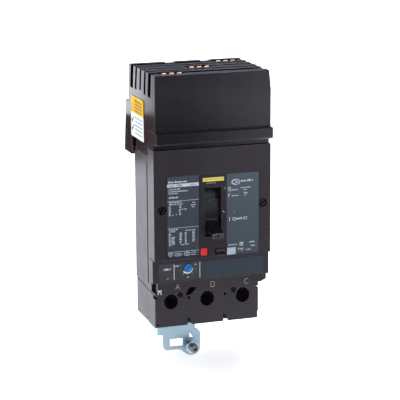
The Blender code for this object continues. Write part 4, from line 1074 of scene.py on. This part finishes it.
def make_studio():
    """A white floor, cards for the reflections, a pale sky and five lamps, which are placed in metres."""
    scene = bpy.context.scene
    floor_z = cad_bounds[0].z / MM
    floor_look = Look("pale_floor", 0.7, 0.0, 0.2)
    floor_look.shader.inputs["Emission Color"].default_value = (1.0, 1.0, 1.0, 1.0)
    floor_look.shader.inputs["Emission Strength"].default_value = 0.7
    floor_look.colour(floor_look.ramp(floor_look.noise(400.0, 2.0), (0.86, 0.865, 0.87),
                                      (0.89, 0.89, 0.895)))
    block("floor", "Z", rectangle(-FLOOR_HALF, FLOOR_HALF, -FLOOR_HALF, FLOOR_HALF),
                   floor_z - 6.0, floor_z - 0.2, floor_look.material)

    stage_card("black_card", "Z", [(-1500.0, -1900.0), (640.0, -1900.0), (250.0, -250.0),
                                   (-1500.0, -250.0)], floor_z + 1.0, (0.004, 0.0035, 0.004))
    stage_card("brown_card", "Y", rectangle(-150.0, -58.0, 20.0, 68.0), SIDE_CARD_Y, (0.24, 0.12, 0.09))
    stage_card("grey_card", "Y", rectangle(-150.0, -90.0, 68.0, 160.0), SIDE_CARD_Y, (0.50, 0.49, 0.52))

    world = bpy.data.worlds.new("studio")
    scene.world = world
    world.use_nodes = True
    background = world.node_tree.nodes["Background"]
    background.inputs["Color"].default_value = (0.74, 0.78, 1.0, 1.0)
    background.inputs["Strength"].default_value = 0.22

    area_lamp("back_wash", (0.0, 1.7, 2.1), (0.0, 1.2, 0.0), (3.4, 2.4), 185.0, (0.88, 0.92, 1.0))
    area_lamp("right_box", (0.28, -0.56, 0.10), (0.02, -0.08, 0.06), (0.16, 0.5), 0.32, (0.90, 0.88, 1.0))
    area_lamp("front_strip", (1.2, -2.7, 0.45), (0.0, 0.0, 0.1), (2.6, 0.5), 1.6, (0.9, 0.9, 1.0))
    area_lamp("left_box", (-1.6, 1.4, 0.35), (0.0, 0.0, 0.0), (1.6, 1.0), 10.0, (0.98, 0.96, 1.0))
    area_lamp("front_fill", (0.6, -2.2, 1.9), (0.0, 0.0, 0.0), (1.2, 1.2), 11.0, (0.94, 0.97, 1.0))

    scene.view_settings.view_transform = "Standard"
    scene.view_settings.look = "None"


def make_camera():
    azimuth, elevation = math.radians(VIEW_AZIMUTH), math.radians(VIEW_ELEVATION)
    back = Vector((math.sin(azimuth) * math.cos(elevation), -math.cos(azimuth) * math.cos(elevation),
                   math.sin(elevation)))
    right = Vector((math.cos(azimuth), math.sin(azimuth), 0.0))
    up = back.cross(right)
    roll = math.radians(VIEW_ROLL)
    tilted_right = right * math.cos(roll) + up * math.sin(roll)
    tilted_up = up * math.cos(roll) - right * math.sin(roll)
    data = bpy.data.cameras.new("camera")
    data.lens = VIEW_LENS
    data.sensor_width = 36.0
    data.clip_start = 0.05
    data.clip_end = 60.0
    camera = bpy.data.objects.new("camera", data)
    axes = Matrix((tilted_right, tilted_up, back)).transposed().to_4x4()
    camera.matrix_world = Matrix.Translation((Vector(VIEW_TARGET) + back * VIEW_DISTANCE) * MM) @ axes
    bpy.context.scene.collection.objects.link(camera)
    bpy.context.scene.camera = camera


make_camera()
make_studio()
all_looks = make_looks()
for build in (dress_cad, print_left_plate, print_right_plate, print_escutcheon, print_strip, print_terminals,
              print_sticker, make_toggle, make_screws, make_dial, make_fixing_screw, make_lug_screws,
              make_hole_shades, make_jaws, make_details):
    build(all_looks)
